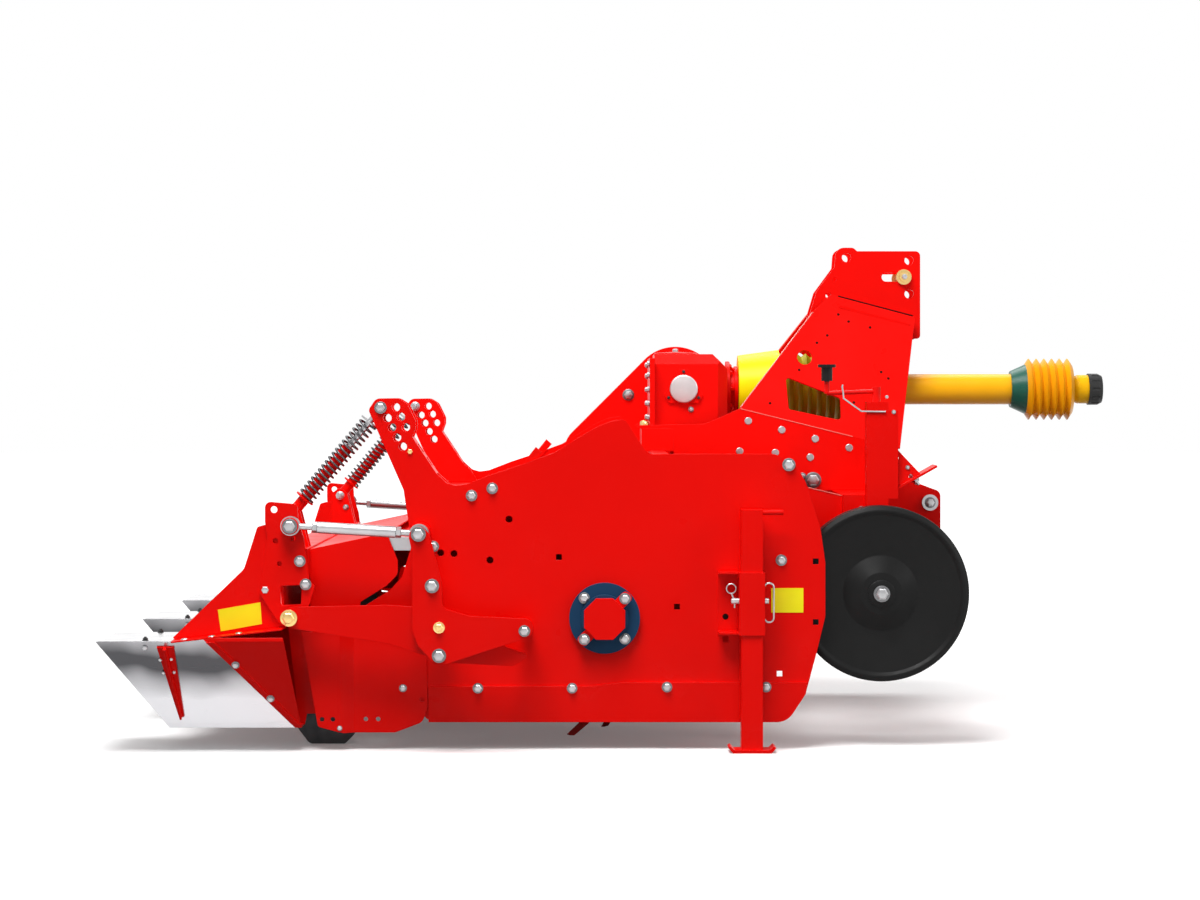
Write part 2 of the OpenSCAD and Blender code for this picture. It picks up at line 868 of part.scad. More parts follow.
module pto_collar() {
    color([0.05, 0.25, 0.17])
        from_rotor()
            turned_x([[tube_end, guard_bore_r], [tube_end, 52], [collar_end, 71], [collar_end,
                guard_bore_r]], drive_rise);
}

module pto_bellows() {
    color([0.95, 0.62, 0.05])
        from_rotor()
            turned_x(concat([[collar_end, guard_bore_r]],
                ribs(collar_end, front_bellows[1], 72, front_bellows_r, 6),
                [[front_bellows[1], guard_bore_r]]), drive_rise);
}

// Rotor: tube, journals, flanges and hooked tines
rotor_half = side_y - 30;
tine_w = 14;

module tine() {
    steps = 6;
    sweep = -16;
    function mid(t) = (100 + (tine_tip_r - 100) * t);
    function turn(t) = sweep * t * t;
    function half(t) = 24 - 13 * t;
    outer = [for (i = [0:steps]) let (t = i / steps) mid(t) * [cos(turn(t)), sin(turn(t))] + [0, half(t)]];
    inner = [for (i = [steps:-1:0]) let (t = i / steps) mid(t) * [cos(turn(t)), sin(turn(t))] - [0, half(t)]];
    rotate([90, 0, 0])
        linear_extrude(tine_w)
            polygon(concat(outer, inner));
}

module rotor() {
    pitch = 2 * (rotor_half - 50) / (tine_flanges - 1);
    color(dark_red)
        from_rotor() {
            bar_y([0, 0], rotor_tube_r, -rotor_half, rotor_half);
            bar_y([0, 0], journal_r, -side_y - bearing_w + 2, side_y + 60);
            intersection() {
                rotor_tines(pitch);
                bar_y([0, 0], tine_tip_r, -far, far);
            }
            for (i = [0:tine_flanges - 1])
                translate([0, -rotor_half + 50 + i * pitch, 0])
                    bar_y([0, 0], tine_flange_r, -tine_flange_t / 2, tine_flange_t / 2);
        }
}

function tine_side(k) = k % 2 == 0 ? 1 - tine_flange_t / 2 : tine_flange_t / 2 + tine_w - 1;

module rotor_tines(pitch) {
    for (i = [0:tine_flanges - 1])
        for (k = [0:tines_each - 1])
            translate([0, -rotor_half + 50 + i * pitch + tine_side(k), 0])
                rotate([0, k * 360 / tines_each + i * 37, 0])
                    tine();
}

// Turning core of the drive shaft and its front yoke
module pto_shaft() {
    color(zinc)
        from_rotor() {
            bar_x(neck_end + 0.3, yoke_x[0], 0, drive_rise, pto_core_r);
        }
}

spline_r = 17.5;
spline_l = 60;

module pto_yoke() {
    color(yellow)
        from_rotor()
            difference() {
                turned_x([[yoke_x[0], 0], [yoke_x[0], 36], [yoke_x[0] + 12, 41], [yoke_x[1], 41],
                    [yoke_x[1], 0]], drive_rise);
                bar_x(pto_reach - spline_l, pto_reach + 1, 0, drive_rise, spline_r);
            }
}

// Knurled quick-fit ring at the shaft's end
ring_r = 45;

module pto_end() {
    grips = 12;
    color([0.09, 0.09, 0.10])
        from_rotor()
            difference() {
                turned_x([[yoke_x[1], 0], [yoke_x[1], ring_r], [pto_reach - 12, ring_r],
                    [pto_reach, ring_r - 6], [pto_reach, 0]], drive_rise);
                bar_x(pto_reach - spline_l, pto_reach + 1, 0, drive_rise, spline_r);
                for (i = [0:grips - 1])
                    bar_x(yoke_x[1] + 8, pto_reach + 1, (ring_r + 2) * cos(360 * i / grips),
                        drive_rise + (ring_r + 2) * sin(360 * i / grips), 5);
            }
}

// Legs of the depth wheels, with the axle stub
wheel_in = 620;
leg_axle_low = 30;
wheel_leg_top = 495;

module wheel_leg() {
    w = column_w - 2 * column_wall - 2 * tube_gap;
    wheel_out = wheel_in + wheel_w;
    box(column_x - w / 2, column_x + w / 2, column_y - w / 2, column_y + w / 2, leg_axle_low, wheel_leg_top);
    bar_y([column_x, axle_rise], axle_r, column_y + w / 2, wheel_out + 1);
    bar_y([column_x, axle_rise], axle_r + 10, column_y + w / 2, wheel_in - 1);
}

module wheel_leg_right() {
    color(red)
        from_rotor()
            right_side()
                wheel_leg();
}

module wheel_leg_left() {
    color(red)
        from_rotor()
            wheel_leg();
}

// Dished depth wheel
module depth_wheel() {
    r = wheel_r;
    w = wheel_w;
    color([0.08, 0.08, 0.08])
        translate([column_x, wheel_in, axle_rise])
            rotate([-90, 0, 0])
                rotate_extrude($fn = 96)
                    polygon(rounded([[axle_r + pin_gap, 0], [55, 0], [r - 14, 8], [r, 20, 12], [r, w - 8,
                        8], [r - 14, w, 6],
                        [r - 24, w - 8, 4], [100, w - 34, 6], [55, w - 12, 6], [34, w - 8],
                            [axle_r + pin_gap, w - 8]]));
}

module depth_wheel_right() {
    from_rotor()
        right_side()
            depth_wheel();
}

module depth_wheel_left() {
    from_rotor()
        depth_wheel();
}

// Stand legs, which slide in their sleeves
foot_t = 8;
foot_half_w = 38;
handle_l = 54;

module stand_leg() {
    top = leg_top - rotor_z;
    h = leg_w / 2;
    box(stand_x - h, stand_x + h, stand_y - h, stand_y + h, floor_z + foot_t, top);
    plate([[stand_x - foot_l / 2, floor_z + 14], [stand_x - foot_l / 2 + 12, floor_z],
        [stand_x + foot_l / 2 - 12, floor_z],
        [stand_x + foot_l / 2, floor_z + 14], [stand_x + foot_l / 2 - 6, floor_z + 18],
        [stand_x + foot_l / 2 - 16, floor_z + foot_t], [stand_x - foot_l / 2 + 16, floor_z + foot_t],
        [stand_x - foot_l / 2 + 6, floor_z + 18]], stand_y - foot_half_w, stand_y + foot_half_w);
    bar_x(stand_x + h, stand_x + h + handle_l, stand_y, top - 8, 7);
}

module stand_leg_right() {
    color(red)
        from_rotor()
            right_side()
                stand_leg();
}

module stand_leg_left() {
    color(red)
        from_rotor()
            stand_leg();
}

// Lower links with their tails ahead of pivot A
link_head = 26;
link_outline = [[pivot_c[0] - link_head, pivot_c[1], link_head - 1],
    [pivot_c[0], pivot_c[1] + link_head + 2, link_head - 1], [-560, 42], [-425, 34, 30], [-251, -67],
    [-203, -84, 6], [-201, -94, 6], [-236, -115, 12], [-401, -107], [-553, -58],
    [pivot_c[0], pivot_c[1] - link_head, link_head - 1]];

module lower_links() {
    y0 = link_y - link_t / 2;
    y1 = link_y + link_t / 2;
    color(red)
        from_rotor()
            both_sides()
                difference() {
                    plate(link_outline, y0, y1);
                    bar_y(pivot_a, hood_pin_r + pin_gap, y0 - 1, y1 + 1);
                    bar_y(pivot_c, hood_pin_r + pin_gap, y0 - 1, y1 + 1);
                }
}

// Hood: bracket plates with the pivots, wings, beam, deck and formers
wing_y = 826;
wing_t = 6;
bracket_y = wing_y + wing_t;
bracket_out = bracket_y + plate_t;
deck_rear = [194 - hood_tail, -49];
deck_slope = 6.5;
deck_front_x = -827;
deck_front = [deck_front_x, deck_rear[1] + (deck_front_x - deck_rear[0]) * tan(deck_slope)];
deck_t = 4;
bracket_outline = [[-877, 308, 14], [-794, 301, 10], [-791.6, 260], [-777, 213, 20], [-763, 102],
    [-748, 89, 4], [-763, 40], [-786, 0, 26], [-813, -17, 24], [-842, -4, 24], [-892, 71, 8],
    [-872, 216], [-877, 256]];
bracket_window = [[-838, 90, 6], [-782, 92, 6], [-784, 42, 6], [-838, 40, 6]];
bracket_holes = [[-854, 287, 9], [-805, 213, 7], [-850, 206, 7], [-840, 147, 6]];

module hood_plates() {
    color(red)
        from_rotor()
            both_sides() {
                difference() {
                    plate(bracket_outline, bracket_y, bracket_out);
                    plate(bracket_window, bracket_y - 1, bracket_out + 1);
                    for (p = bracket_holes)
                        bar_y(p, p[2], bracket_y - 1, bracket_out + 1);
                }
                bar_y(pivot_c, hood_pin_r, bracket_out, link_y + link_t / 2 + 2);
                bar_y(pivot_d, hood_pin_r, bracket_out, link_y + eye_w / 2 + 2);
                bar_y(pivot_c, hood_pin_r + 10, link_y + link_t / 2 + 1, link_y + link_t / 2 + 8);
                bar_y(pivot_d, hood_pin_r + 10, link_y + eye_w / 2 + 1, link_y + eye_w / 2 + 8);
            }
}

wing_outline = [[-898, 242, 8], [-880, 247], [-806, 247], [-786, 0, 20], deck_front + [8, 0], deck_front,
    deck_rear, [deck_rear[0] - 6, deck_rear[1] + 4, 4], [-932.6, 133, 30]];

module hood_wings() {
    color(red)
        from_rotor()
            both_sides()
                difference() {
                    plate(wing_outline, wing_y, bracket_y);
                    plate(bracket_window, wing_y - 1, bracket_y + 1);
                }
}

// Beam with the strut forks, deck over the ridges and baffle between them
hood_beam = [-810, 145];
hood_beam_w = 80;
strut_pin = [-821, 273];
fork_gap = 40;
fork_t = 8;
deck_half = row_spacing + furrow_top_half;
fork_outline = [[-29, 0], [-24, 7, 20], [-1, 27, 24], [23, 5, 20], [46, 0]];

module hood_frame() {
    top = hood_beam[1] + hood_beam_w / 2;
    low = hood_beam[1] - hood_beam_w / 2;
    color(red)
        from_rotor() {
            cross_tube(hood_beam, hood_beam_w, wing_y, 6);
            plate([deck_rear, deck_front, deck_front + [0, -deck_t], deck_rear + [0, -deck_t]], -deck_half,
                deck_half);
            plate([deck_front + [-6, 0], deck_front, [hood_beam[0] - 22, low], [hood_beam[0] - 28, low]],
                -wing_y, wing_y);
            both_sides()
                for (y = [strut_y - fork_gap / 2 - fork_t, strut_y + fork_gap / 2])
                    plate([for (p = fork_outline) [strut_pin[0] + p[0], p[1] == 0 ? top : strut_pin[1] + p[1],
                        len(p) < 3 ? 0.1 : p[2]]], y, y + fork_t);
            both_sides()
                bar_y(strut_pin, arm_pin_r, strut_y - fork_gap / 2, strut_y + fork_gap / 2);
        }
}

// Sheet from the hood beam towards the rotor cover
cover_back = [hood_beam[0] + hood_beam_w / 2, 180];
cover_tip = [-570, 222];
cover_half = inner_y + 9;
skirt_outline = [cover_back, cover_tip, [-566, 212], [-541, 150], [-541, 114, 20], [-570, 84, 20], [-638, 42],
    [-650, -20], [cover_back[0], -20]];

module hood_cover() {
    color(red)
        from_rotor() {
            plate([cover_back, cover_tip, cover_tip + [0, -deck_t], cover_back + [0, -deck_t]],
                -cover_half, cover_half);
            both_sides()
                plate(skirt_outline, cover_half - 4, cover_half);
        }
}

// Section of a furrow former: two sloping sides on a narrow sole, thickness t
former_low = -282;
flank_slope = (deck_rear[1] - former_low) / (furrow_top_half - furrow_half);

function flank(z) = furrow_half + (z - former_low) / flank_slope;

module former_section(y_mid) {
    t = former_t;
    top = 20;
    rotate([90, 0, 90])
        translate([y_mid, 0])
            linear_extrude(hood_tail)
                polygon([[-flank(top), top], [-furrow_half, former_low], [furrow_half, former_low],
                    [flank(top), top],
                    [flank(top) - 1.2 * t, top], [furrow_half - 0.6 * t, former_low + t],
                    [0.6 * t - furrow_half, former_low + t], [1.2 * t - flank(top), top]]);
}

tail_x = -hood_tail;
// The split between former and nose lies at this share of the deck's depth
split_share = 0.708;
split_x = deck_front_x + split_share * (deck_rear[0] - deck_front_x);
nose_foot_x = -788;
nose_sole = 16;
former_split = [[nose_foot_x - nose_sole, former_low - 1],
    [split_x, deck_rear[1] + (split_x - deck_rear[0]) * tan(deck_slope) - deck_t]];
former_outline = [[tail_x + 175, former_low - 1], [tail_x, deck_rear[1]], deck_rear, former_split[1],
    former_split[0]];

module former(y_mid) {
    color(steel)
        from_rotor()
            intersection() {
                translate([tail_x - 1, 0, 0])
                    former_section(y_mid);
                plate([former_outline[0], former_outline[1], deck_rear, deck_rear + [0, -deck_t],
                    former_outline[3], former_outline[4]], -far / 4, far / 4);
            }
}

module former_right() {
    former(-row_spacing);
}

module former_left() {
    former(row_spacing);
}

module former_centre() {
    former(0);
}

// Red fore parts of the formers, with a side sheet in each outer one
nose_sheet = [[-830, -22], [-800, former_low + 1], [-786, former_low + 1], [-780, -252], [-690, -252],
    [-696, -22]];
nose_sheet_y = inner_y - 11;
nose_sheet_t = 4;

module hood_noses() {
    color(red)
        from_rotor() {
            for (y = [-row_spacing, 0, row_spacing])
                intersection() {
                    translate([tail_x - 1, 0, 0])
                        former_section(y);
                    plate([former_split[0], former_split[1], deck_front + [0, -deck_t],
                        [nose_foot_x, former_low - 1]], -deck_half, deck_half);
                }
            both_sides()
                plate(nose_sheet, nose_sheet_y, nose_sheet_y + nose_sheet_t);
        }
}

// Ribbed straps that stiffen the tails of the formers
strap_top = [tail_x + 177, -62];
strap_foot = [tail_x + 207, -250];
strap_t = 5;

module strap_on_flank(y_mid) {
    lean = atan(1 / flank_slope);
    length = (strap_top[1] - strap_foot[1]) / cos(lean);
    shift = strap_foot[0] - strap_top[0];
    translate([strap_top[0], y_mid + flank(strap_top[1]) + 0.02, strap_top[1]])
        rotate([-lean, 0, 0]) {
            plate([[-20, 0], [24, 0], [shift + 8, -length], [shift - 6, -length]], 0, strap_t);
            plate([[-3, 0], [4, 0], [shift + 3, -length], [shift - 2, -length]], strap_t, strap_t + 14);
        }
}

module hood_straps() {
    color(red)
        from_rotor()
            for (y = [-row_spacing, 0, row_spacing]) {
                strap_on_flank(y);
                translate([0, 2 * y, 0])
                    mirror([0, 1, 0])
                        strap_on_flank(y);
            }
}

// Parking feet of the hood
skid_y = 590;
skid_top = -264;
skid_half = 30;
skid_t = 8;
skid_back = -845;
skid_front = -666;
skid_leg = [-760, -700];
skid_outline = [[skid_back, skid_top], [-784, floor_z, 20], [-690, floor_z, 10], [skid_front, -320, 10],
    [skid_front, skid_top]];
skid_hollow = [[skid_back + 14, skid_top + 1], [-779, floor_z + skid_t], [-694, floor_z + skid_t],
    [skid_front - skid_t, -316], [skid_front - skid_t, skid_top + 1]];

cover_slope = (cover_tip[1] - cover_back[1]) / (cover_tip[0] - cover_back[0]);
function cover_under(x) = cover_back[1] - deck_t + (x - cover_back[0]) * cover_slope;

module hood_skids() {
    color([0.16, 0.16, 0.17])
        from_rotor()
            both_sides() {
                difference() {
                    plate(skid_outline, skid_y - skid_half, skid_y + skid_half);
                    plate(skid_hollow, skid_y - skid_half + skid_t, skid_y + skid_half - skid_t);
                }
                plate([[skid_leg[0], floor_z + skid_t - 1], [skid_leg[1], floor_z + skid_t - 1],
                    [skid_leg[1], cover_under(skid_leg[1])], [skid_leg[0], cover_under(skid_leg[0])]],
                    skid_y - 5, skid_y + 5);
            }
}

// Upper tie rods, with a turnbuckle in the middle and some play in the rear eye
rear_eye_gap = 0.36;
turnbuckle_from = 60;
turnbuckle_rest = 70;

module tie_rods() {
    color(zinc)
        from_rotor()
            both_sides()
                difference() {
                    union() {
                        for (p = [pivot_b, pivot_d])
                            bar_y(p, 25, link_y - eye_w / 2, link_y + eye_w / 2);
                        translate([pivot_b[0], link_y, pivot_b[1]])
                            rotate([0, -90 + link_rise, 0]) {
                                cylinder(r = 8, h = tie_rod_l);
                                translate([0, 0, turnbuckle_from])
                                    cylinder(r = 15, h = tie_rod_l - turnbuckle_from - turnbuckle_rest);
                            }
                    }
                    bar_y(pivot_b, hood_pin_r + pin_gap, link_y - eye_w, link_y + eye_w);
                    bar_y(pivot_d, hood_pin_r + rear_eye_gap, link_y - eye_w, link_y + eye_w);
                }
}

// Spring struts: tube on the hood, rod on the arm, spring between their seats
strut_span = norm(arm_pin - strut_pin);
strut_lean = atan2(arm_pin[0] - strut_pin[0], arm_pin[1] - strut_pin[1]);
strut_tube_r = 15;
strut_rod_r = 8;
strut_tube_l = 230;
strut_rod_l = 262;
seat_at = 52;
seat_t = 4;
strut_eye_w = fork_gap - 1;

module along_strut() {
    translate([strut_pin[0], strut_y, strut_pin[1]])
        rotate([0, strut_lean, 0])
            children();
}

module strut_tubes() {
    color(red)
        from_rotor()
            both_sides()
                difference() {
                    union() {
                        bar_y(strut_pin, 20, strut_y - strut_eye_w / 2, strut_y + strut_eye_w / 2);
                        along_strut() {
                            cylinder(r = strut_tube_r, h = strut_tube_l);
                            translate([0, 0, seat_at - seat_t])
                                cylinder(r = spring_r + 2, h = seat_t);
                        }
                    }
                    along_strut()
                        translate([0, 0, 30])
                            cylinder(r = strut_rod_r + 2.5, h = strut_tube_l);
                    bar_y(strut_pin, arm_pin_r + pin_gap, strut_y - fork_gap, strut_y + fork_gap);
                }
}

module strut_rods() {
    half = (inner_y - cheek_y) / 2 - 0.5;
    color(zinc)
        from_rotor()
            both_sides()
                difference() {
                    union() {
                        bar_y(arm_pin, 20, strut_y - half, strut_y + half);
                        along_strut() {
                            translate([0, 0, strut_span - strut_rod_l])
                                cylinder(r = strut_rod_r, h = strut_rod_l);
                            translate([0, 0, strut_span - seat_at])
                                cylinder(r = spring_r + 2, h = seat_t);
                        }
                    }
                    bar_y(arm_pin, arm_pin_r + pin_gap, strut_y - half - 1, strut_y + half + 1);
                }
}

// One ring of the coil for each step, swept along a helix
module springs() {
    steps = 10;
    sides = 4;
    low = seat_at + spring_wire_r;
    high = strut_span - seat_at - spring_wire_r;
    n = spring_turns * steps;
    mid_r = spring_r - spring_wire_r;
    points = [
        for (i = [0:n], k = [0:sides - 1])
            let (a = 360 * i / steps, b = 360 * k / sides, r = mid_r + spring_wire_r * cos(b))
            [r * cos(a), r * sin(a), low + (high - low) * i / n + spring_wire_r * sin(b)]
    ];
    walls = [
        for (i = [0:n - 1], k = [0:sides - 1])
            let (j = (k + 1) % sides)
            [i * sides + k, i * sides + j, (i + 1) * sides + j, (i + 1) * sides + k]
    ];
    ends = [[for (k = [sides - 1:-1:0]) k], [for (k = [0:sides - 1]) n * sides + k]];
    color(steel)
        from_rotor()
            both_sides()
                along_strut()
                    polyhedron(points, concat(walls, ends));
}

side_plate_right();
side_plate_left();
arm_cheeks();
rotor_cover();
cross_beams();
wear_strips();
extension_plates();
folded_box();
lever_plates();
bearing();
bearing_cap();
drive_case();
drive_tube();
gearbox();
gearbox_cover();
tower();
mast();
top_link_pin();
hitch_plates();
hitch_pins();
wheel_columns();
wheel_cranks();
column_brackets();
stand_sleeves();
pto_cone();
pto_guard();
pto_collar();
pto_bellows();
rotor();
pto_shaft();
pto_yoke();
pto_end();
wheel_leg_right();
wheel_leg_left();
depth_wheel_right();
depth_wheel_left();
stand_leg_right();
stand_leg_left();
lower_links();
hood_plates();
hood_wings();
hood_frame();
hood_cover();
hood_noses();
former_right();
former_left();
former_centre();
hood_straps();
hood_skids();
tie_rods();
strut_tubes();
strut_rods();
springs();
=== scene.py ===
"""Looks of a two-row rotary ridging tiller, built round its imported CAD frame."""
import json
import math

import bmesh
import bpy
from mathutils import Matrix, Vector


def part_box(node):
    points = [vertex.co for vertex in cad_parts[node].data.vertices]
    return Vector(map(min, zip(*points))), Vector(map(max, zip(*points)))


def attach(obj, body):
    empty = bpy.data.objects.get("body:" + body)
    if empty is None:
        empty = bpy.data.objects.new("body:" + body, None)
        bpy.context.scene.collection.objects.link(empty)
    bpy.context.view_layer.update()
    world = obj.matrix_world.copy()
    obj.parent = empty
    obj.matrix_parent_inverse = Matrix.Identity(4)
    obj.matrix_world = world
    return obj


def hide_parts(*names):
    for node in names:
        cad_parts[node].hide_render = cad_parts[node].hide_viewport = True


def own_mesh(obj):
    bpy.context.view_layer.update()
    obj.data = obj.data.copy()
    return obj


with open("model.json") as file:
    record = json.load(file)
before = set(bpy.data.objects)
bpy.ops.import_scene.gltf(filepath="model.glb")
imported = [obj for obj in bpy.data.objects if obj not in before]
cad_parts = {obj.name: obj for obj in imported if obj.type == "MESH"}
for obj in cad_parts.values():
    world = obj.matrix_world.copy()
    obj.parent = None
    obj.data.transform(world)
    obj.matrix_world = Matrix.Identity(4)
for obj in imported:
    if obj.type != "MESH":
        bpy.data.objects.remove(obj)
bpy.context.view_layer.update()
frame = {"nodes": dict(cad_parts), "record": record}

MM = 0.001

# Places below are in millimetres from the rotor axis: x to the tractor, y to the left, z up.
low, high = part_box("rotor")
ROTOR_X = (low.x + high.x) / 2
ROTOR_Z = (low.z + high.z) / 2


def at(x, y, z):
    """The scene's place, in metres, of a place counted from the rotor axis."""
    return Vector((x * MM + ROTOR_X, y * MM, z * MM + ROTOR_Z))


# ---------------------------------------------------------------- materials


MATERIALS = {}


def new_material(name):
    """The node tree and the shader of a new material, which MATERIALS keeps by its name."""
    mat = bpy.data.materials.new(name)
    mat.use_nodes = True
    MATERIALS[name] = mat
    return mat.node_tree, mat.node_tree.nodes["Principled BSDF"]


def noise(tree, scale, detail=4.0, stretch=(1, 1, 1)):
    """Noise in the object's own coordinates, in metres."""
    coords = tree.nodes.new("ShaderNodeTexCoord")
    mapping = tree.nodes.new("ShaderNodeMapping")
    texture = tree.nodes.new("ShaderNodeTexNoise")
    mapping.inputs["Scale"].default_value = stretch
    texture.inputs["Scale"].default_value = scale
    texture.inputs["Detail"].default_value = detail
    tree.links.new(coords.outputs["Object"], mapping.inputs["Vector"])
    tree.links.new(mapping.outputs["Vector"], texture.inputs["Vector"])
    return texture.outputs["Fac"]


def ramp(tree, value, stops):
    """A colour ramp of (place, colour) stops over a value."""
    node = tree.nodes.new("ShaderNodeValToRGB")
    elements = node.color_ramp.elements
    while len(elements) < len(stops):
        elements.new(0.5)
    for element, (place, colour) in zip(elements, stops):
        element.position = place
        element.color = (*colour, 1)
    tree.links.new(value, node.inputs["Fac"])
    return node.outputs["Color"]


# Where most of a noise's values lie
NOISE_LOW = 0.3
NOISE_HIGH = 0.7


def map_range(tree, value, start, end, low_end=0.0, high_end=1.0, kind="LINEAR"):
    """Maps one range onto another and holds the value at both ends."""
    node = tree.nodes.new("ShaderNodeMapRange")
    node.interpolation_type = kind
    node.inputs["From Min"].default_value = start
    node.inputs["From Max"].default_value = end
    node.inputs["To Min"].default_value = low_end
    node.inputs["To Max"].default_value = high_end
    tree.links.new(value, node.inputs["Value"])
    return node.outputs["Result"]


def spread(tree, value, low_end, high_end):
    """Maps noise onto a range."""
    return map_range(tree, value, NOISE_LOW, NOISE_HIGH, low_end, high_end)


def combine(tree, operation, a, b):
    """A sum, a product or the larger of two values."""
    node = tree.nodes.new("ShaderNodeMath")
    node.operation = operation
    tree.links.new(a, node.inputs[0])
    tree.links.new(b, node.inputs[1])
    return node.outputs[0]


def along_axis(tree, axis):
    """Distance along one of the object's axes, in metres."""
    coords = tree.nodes.new("ShaderNodeTexCoord")
    axes = tree.nodes.new("ShaderNodeSeparateXYZ")
    tree.links.new(coords.outputs["Object"], axes.inputs["Vector"])
    return axes.outputs[axis]


def bump(tree, shader, value, strength, depth, edge=0.0):
    """Fine relief, over edges that are softened by a small radius in metres."""
    node = tree.nodes.new("ShaderNodeBump")
    node.inputs["Strength"].default_value = strength
    node.inputs["Distance"].default_value = depth
    tree.links.new(value, node.inputs["Height"])
    if edge > 0:
        soft = tree.nodes.new("ShaderNodeBevel")
        soft.samples = 4
        soft.inputs["Radius"].default_value = edge
        tree.links.new(soft.outputs["Normal"], node.inputs["Normal"])
    tree.links.new(node.outputs["Normal"], shader.inputs["Normal"])


def shade(colour, factor):
    """A lighter or darker tone of a colour."""
    return tuple(c * factor for c in colour)


def drift(tree, colour, clouds, darkest, lightest):
    """A colour that wanders between a darker and a lighter tone of itself."""
    return ramp(tree, clouds, [(NOISE_LOW, shade(colour, darkest)), (NOISE_HIGH, shade(colour, lightest))])


# Depth, in metres, of orange peel and of the grain on plastic
FINE_RELIEF = 0.00005


def paint(name, colour, rough=(0.26, 0.38), gloss=0.09):
    """Sprayed paint: a slow drift of tone, fine orange peel, soft edges and a thin gloss."""
    tree, shader = new_material(name)
    tree.links.new(drift(tree, colour, noise(tree, 3.0), 0.95, 1.03), shader.inputs["Base Color"])
    tree.links.new(spread(tree, noise(tree, 9.0, 6.0), *rough), shader.inputs["Roughness"])
    shader.inputs["Specular IOR Level"].default_value = gloss
    bump(tree, shader, noise(tree, 260.0, 2.0), 0.2, FINE_RELIEF, edge=0.0022)


def metal(name, colour, rough, grain=(1, 1, 1), scale=120.0, depth=0.00004):
    """Plated or brushed metal: the grain runs along the axis with the smallest stretch."""
    tree, shader = new_material(name)
    tree.links.new(drift(tree, colour, noise(tree, 14.0, 5.0), 0.86, 1.06), shader.inputs["Base Color"])
    shader.inputs["Metallic"].default_value = 1.0
    lines = noise(tree, scale, 6.0, grain)
    tree.links.new(spread(tree, lines, *rough), shader.inputs["Roughness"])
    bump(tree, shader, lines, 0.3, depth)


def painted_reflection_sheet(name, dark, light, z_low, z_high):
    """Rolled sheet metal whose colour holds a painted reflection and painted shade: bright at the foot and
    dull under the deck.
    """
    tree, shader = new_material(name)
    height = map_range(tree, along_axis(tree, "Z"), z_low, z_high)
    wave = spread(tree, noise(tree, 9.0, 1.0), -0.05, 0.05)
    middle = tuple((a + b) / 2 for a, b in zip(dark, light))
    # Painted reflection: light low on the sheet, dark higher up, with a wavy line between.
    tone = ramp(tree, combine(tree, "ADD", height, wave),
                [(0.0, light), (0.36, light), (0.54, middle), (0.68, dark), (0.80, dark), (0.96, middle)])
    tree.links.new(tone, shader.inputs["Base Color"])
    shader.inputs["Metallic"].default_value = 1.0
    lines = noise(tree, 300.0, 6.0, (0.04, 1, 1))
    tree.links.new(spread(tree, lines, 0.16, 0.28), shader.inputs["Roughness"])
    bump(tree, shader, lines, 0.25, 0.00003, edge=0.0015)


def plastic(name, colour, rough=(0.3, 0.42), gloss=0.3, scale=420.0):
    """Moulded plastic or rubber with a fine grain and a faint drift of tone."""
    tree, shader = new_material(name)
    shader.inputs["Specular IOR Level"].default_value = gloss
    tree.links.new(drift(tree, colour, noise(tree, 6.0), 0.9, 1.08), shader.inputs["Base Color"])
    tree.links.new(spread(tree, noise(tree, 30.0, 5.0), *rough), shader.inputs["Roughness"])
    bump(tree, shader, noise(tree, scale, 2.0), 0.3, FINE_RELIEF)


# Half width, in metres, of the change between two colours of one piece
STEP_BLUR = 0.0005


def step_along(tree, axis, place, below, above):
    """One colour below a place on an object axis, in metres, and another above it."""
    share = map_range(tree, along_axis(tree, axis), place - STEP_BLUR, place + STEP_BLUR)
    return ramp(tree, share, [(0.0, below), (1.0, above)])


def two_tone(name, axis, place, below, above, rough, gloss):
    """Paint or plastic whose colour changes at one place along an axis."""
    tree, shader = new_material(name)
    tone = tree.nodes.new("ShaderNodeMix")
    tone.data_type = "RGBA"
    tone.blend_type = "MULTIPLY"
    tone.inputs["Factor"].default_value = 1.0
    tree.links.new(step_along(tree, axis, place, below, above), tone.inputs["A"])
    tree.links.new(drift(tree, (1, 1, 1), noise(tree, 8.0), 0.9, 1.0), tone.inputs["B"])
    tree.links.new(tone.outputs["Result"], shader.inputs["Base Color"])
    tree.links.new(spread(tree, noise(tree, 30.0, 5.0), *rough), shader.inputs["Roughness"])
    shader.inputs["Specular IOR Level"].default_value = gloss
    bump(tree, shader, noise(tree, 300.0, 2.0), 0.2, FINE_RELIEF, edge=0.001)


RED = (0.80, 0.0025, 0.0008)
BLACK = (0.008, 0.008, 0.008)
LEMON = (0.90, 0.86, 0.002)
# The guard's yellow darkened to paint the shade inside the tower.
YELLOW_IN_PAINTED_SHADE = (0.30, 0.27, 0.004)
ORANGE = (0.90, 0.43, 0.002)

paint("red_paint", RED)
paint("dark_red_paint", (0.24, 0.006, 0.004), rough=(0.45, 0.6), gloss=0.1)
paint("blue_paint", (0.010, 0.045, 0.105), rough=(0.35, 0.5))
# Washers darker than the zinc heads: partly their own steel and partly painted shade round each bolt head.
metal("washer_steel", (0.17, 0.17, 0.175), rough=(0.34, 0.46))
metal("brass_plate", (0.72, 0.50, 0.20), rough=(0.24, 0.38))
metal("zinc_plate", (0.42, 0.42, 0.43), rough=(0.28, 0.42))
metal("bright_sheet", (0.93, 0.93, 0.94), rough=(0.22, 0.3), grain=(0.05, 1, 1), scale=260.0)
metal("spring_steel", (0.10, 0.10, 0.105), rough=(0.28, 0.42))
# The formers' stainless: a painted reflection up their height.
painted_reflection_sheet("stainless", (0.075, 0.075, 0.08), (0.60, 0.60, 0.62), 0.05, 0.31)
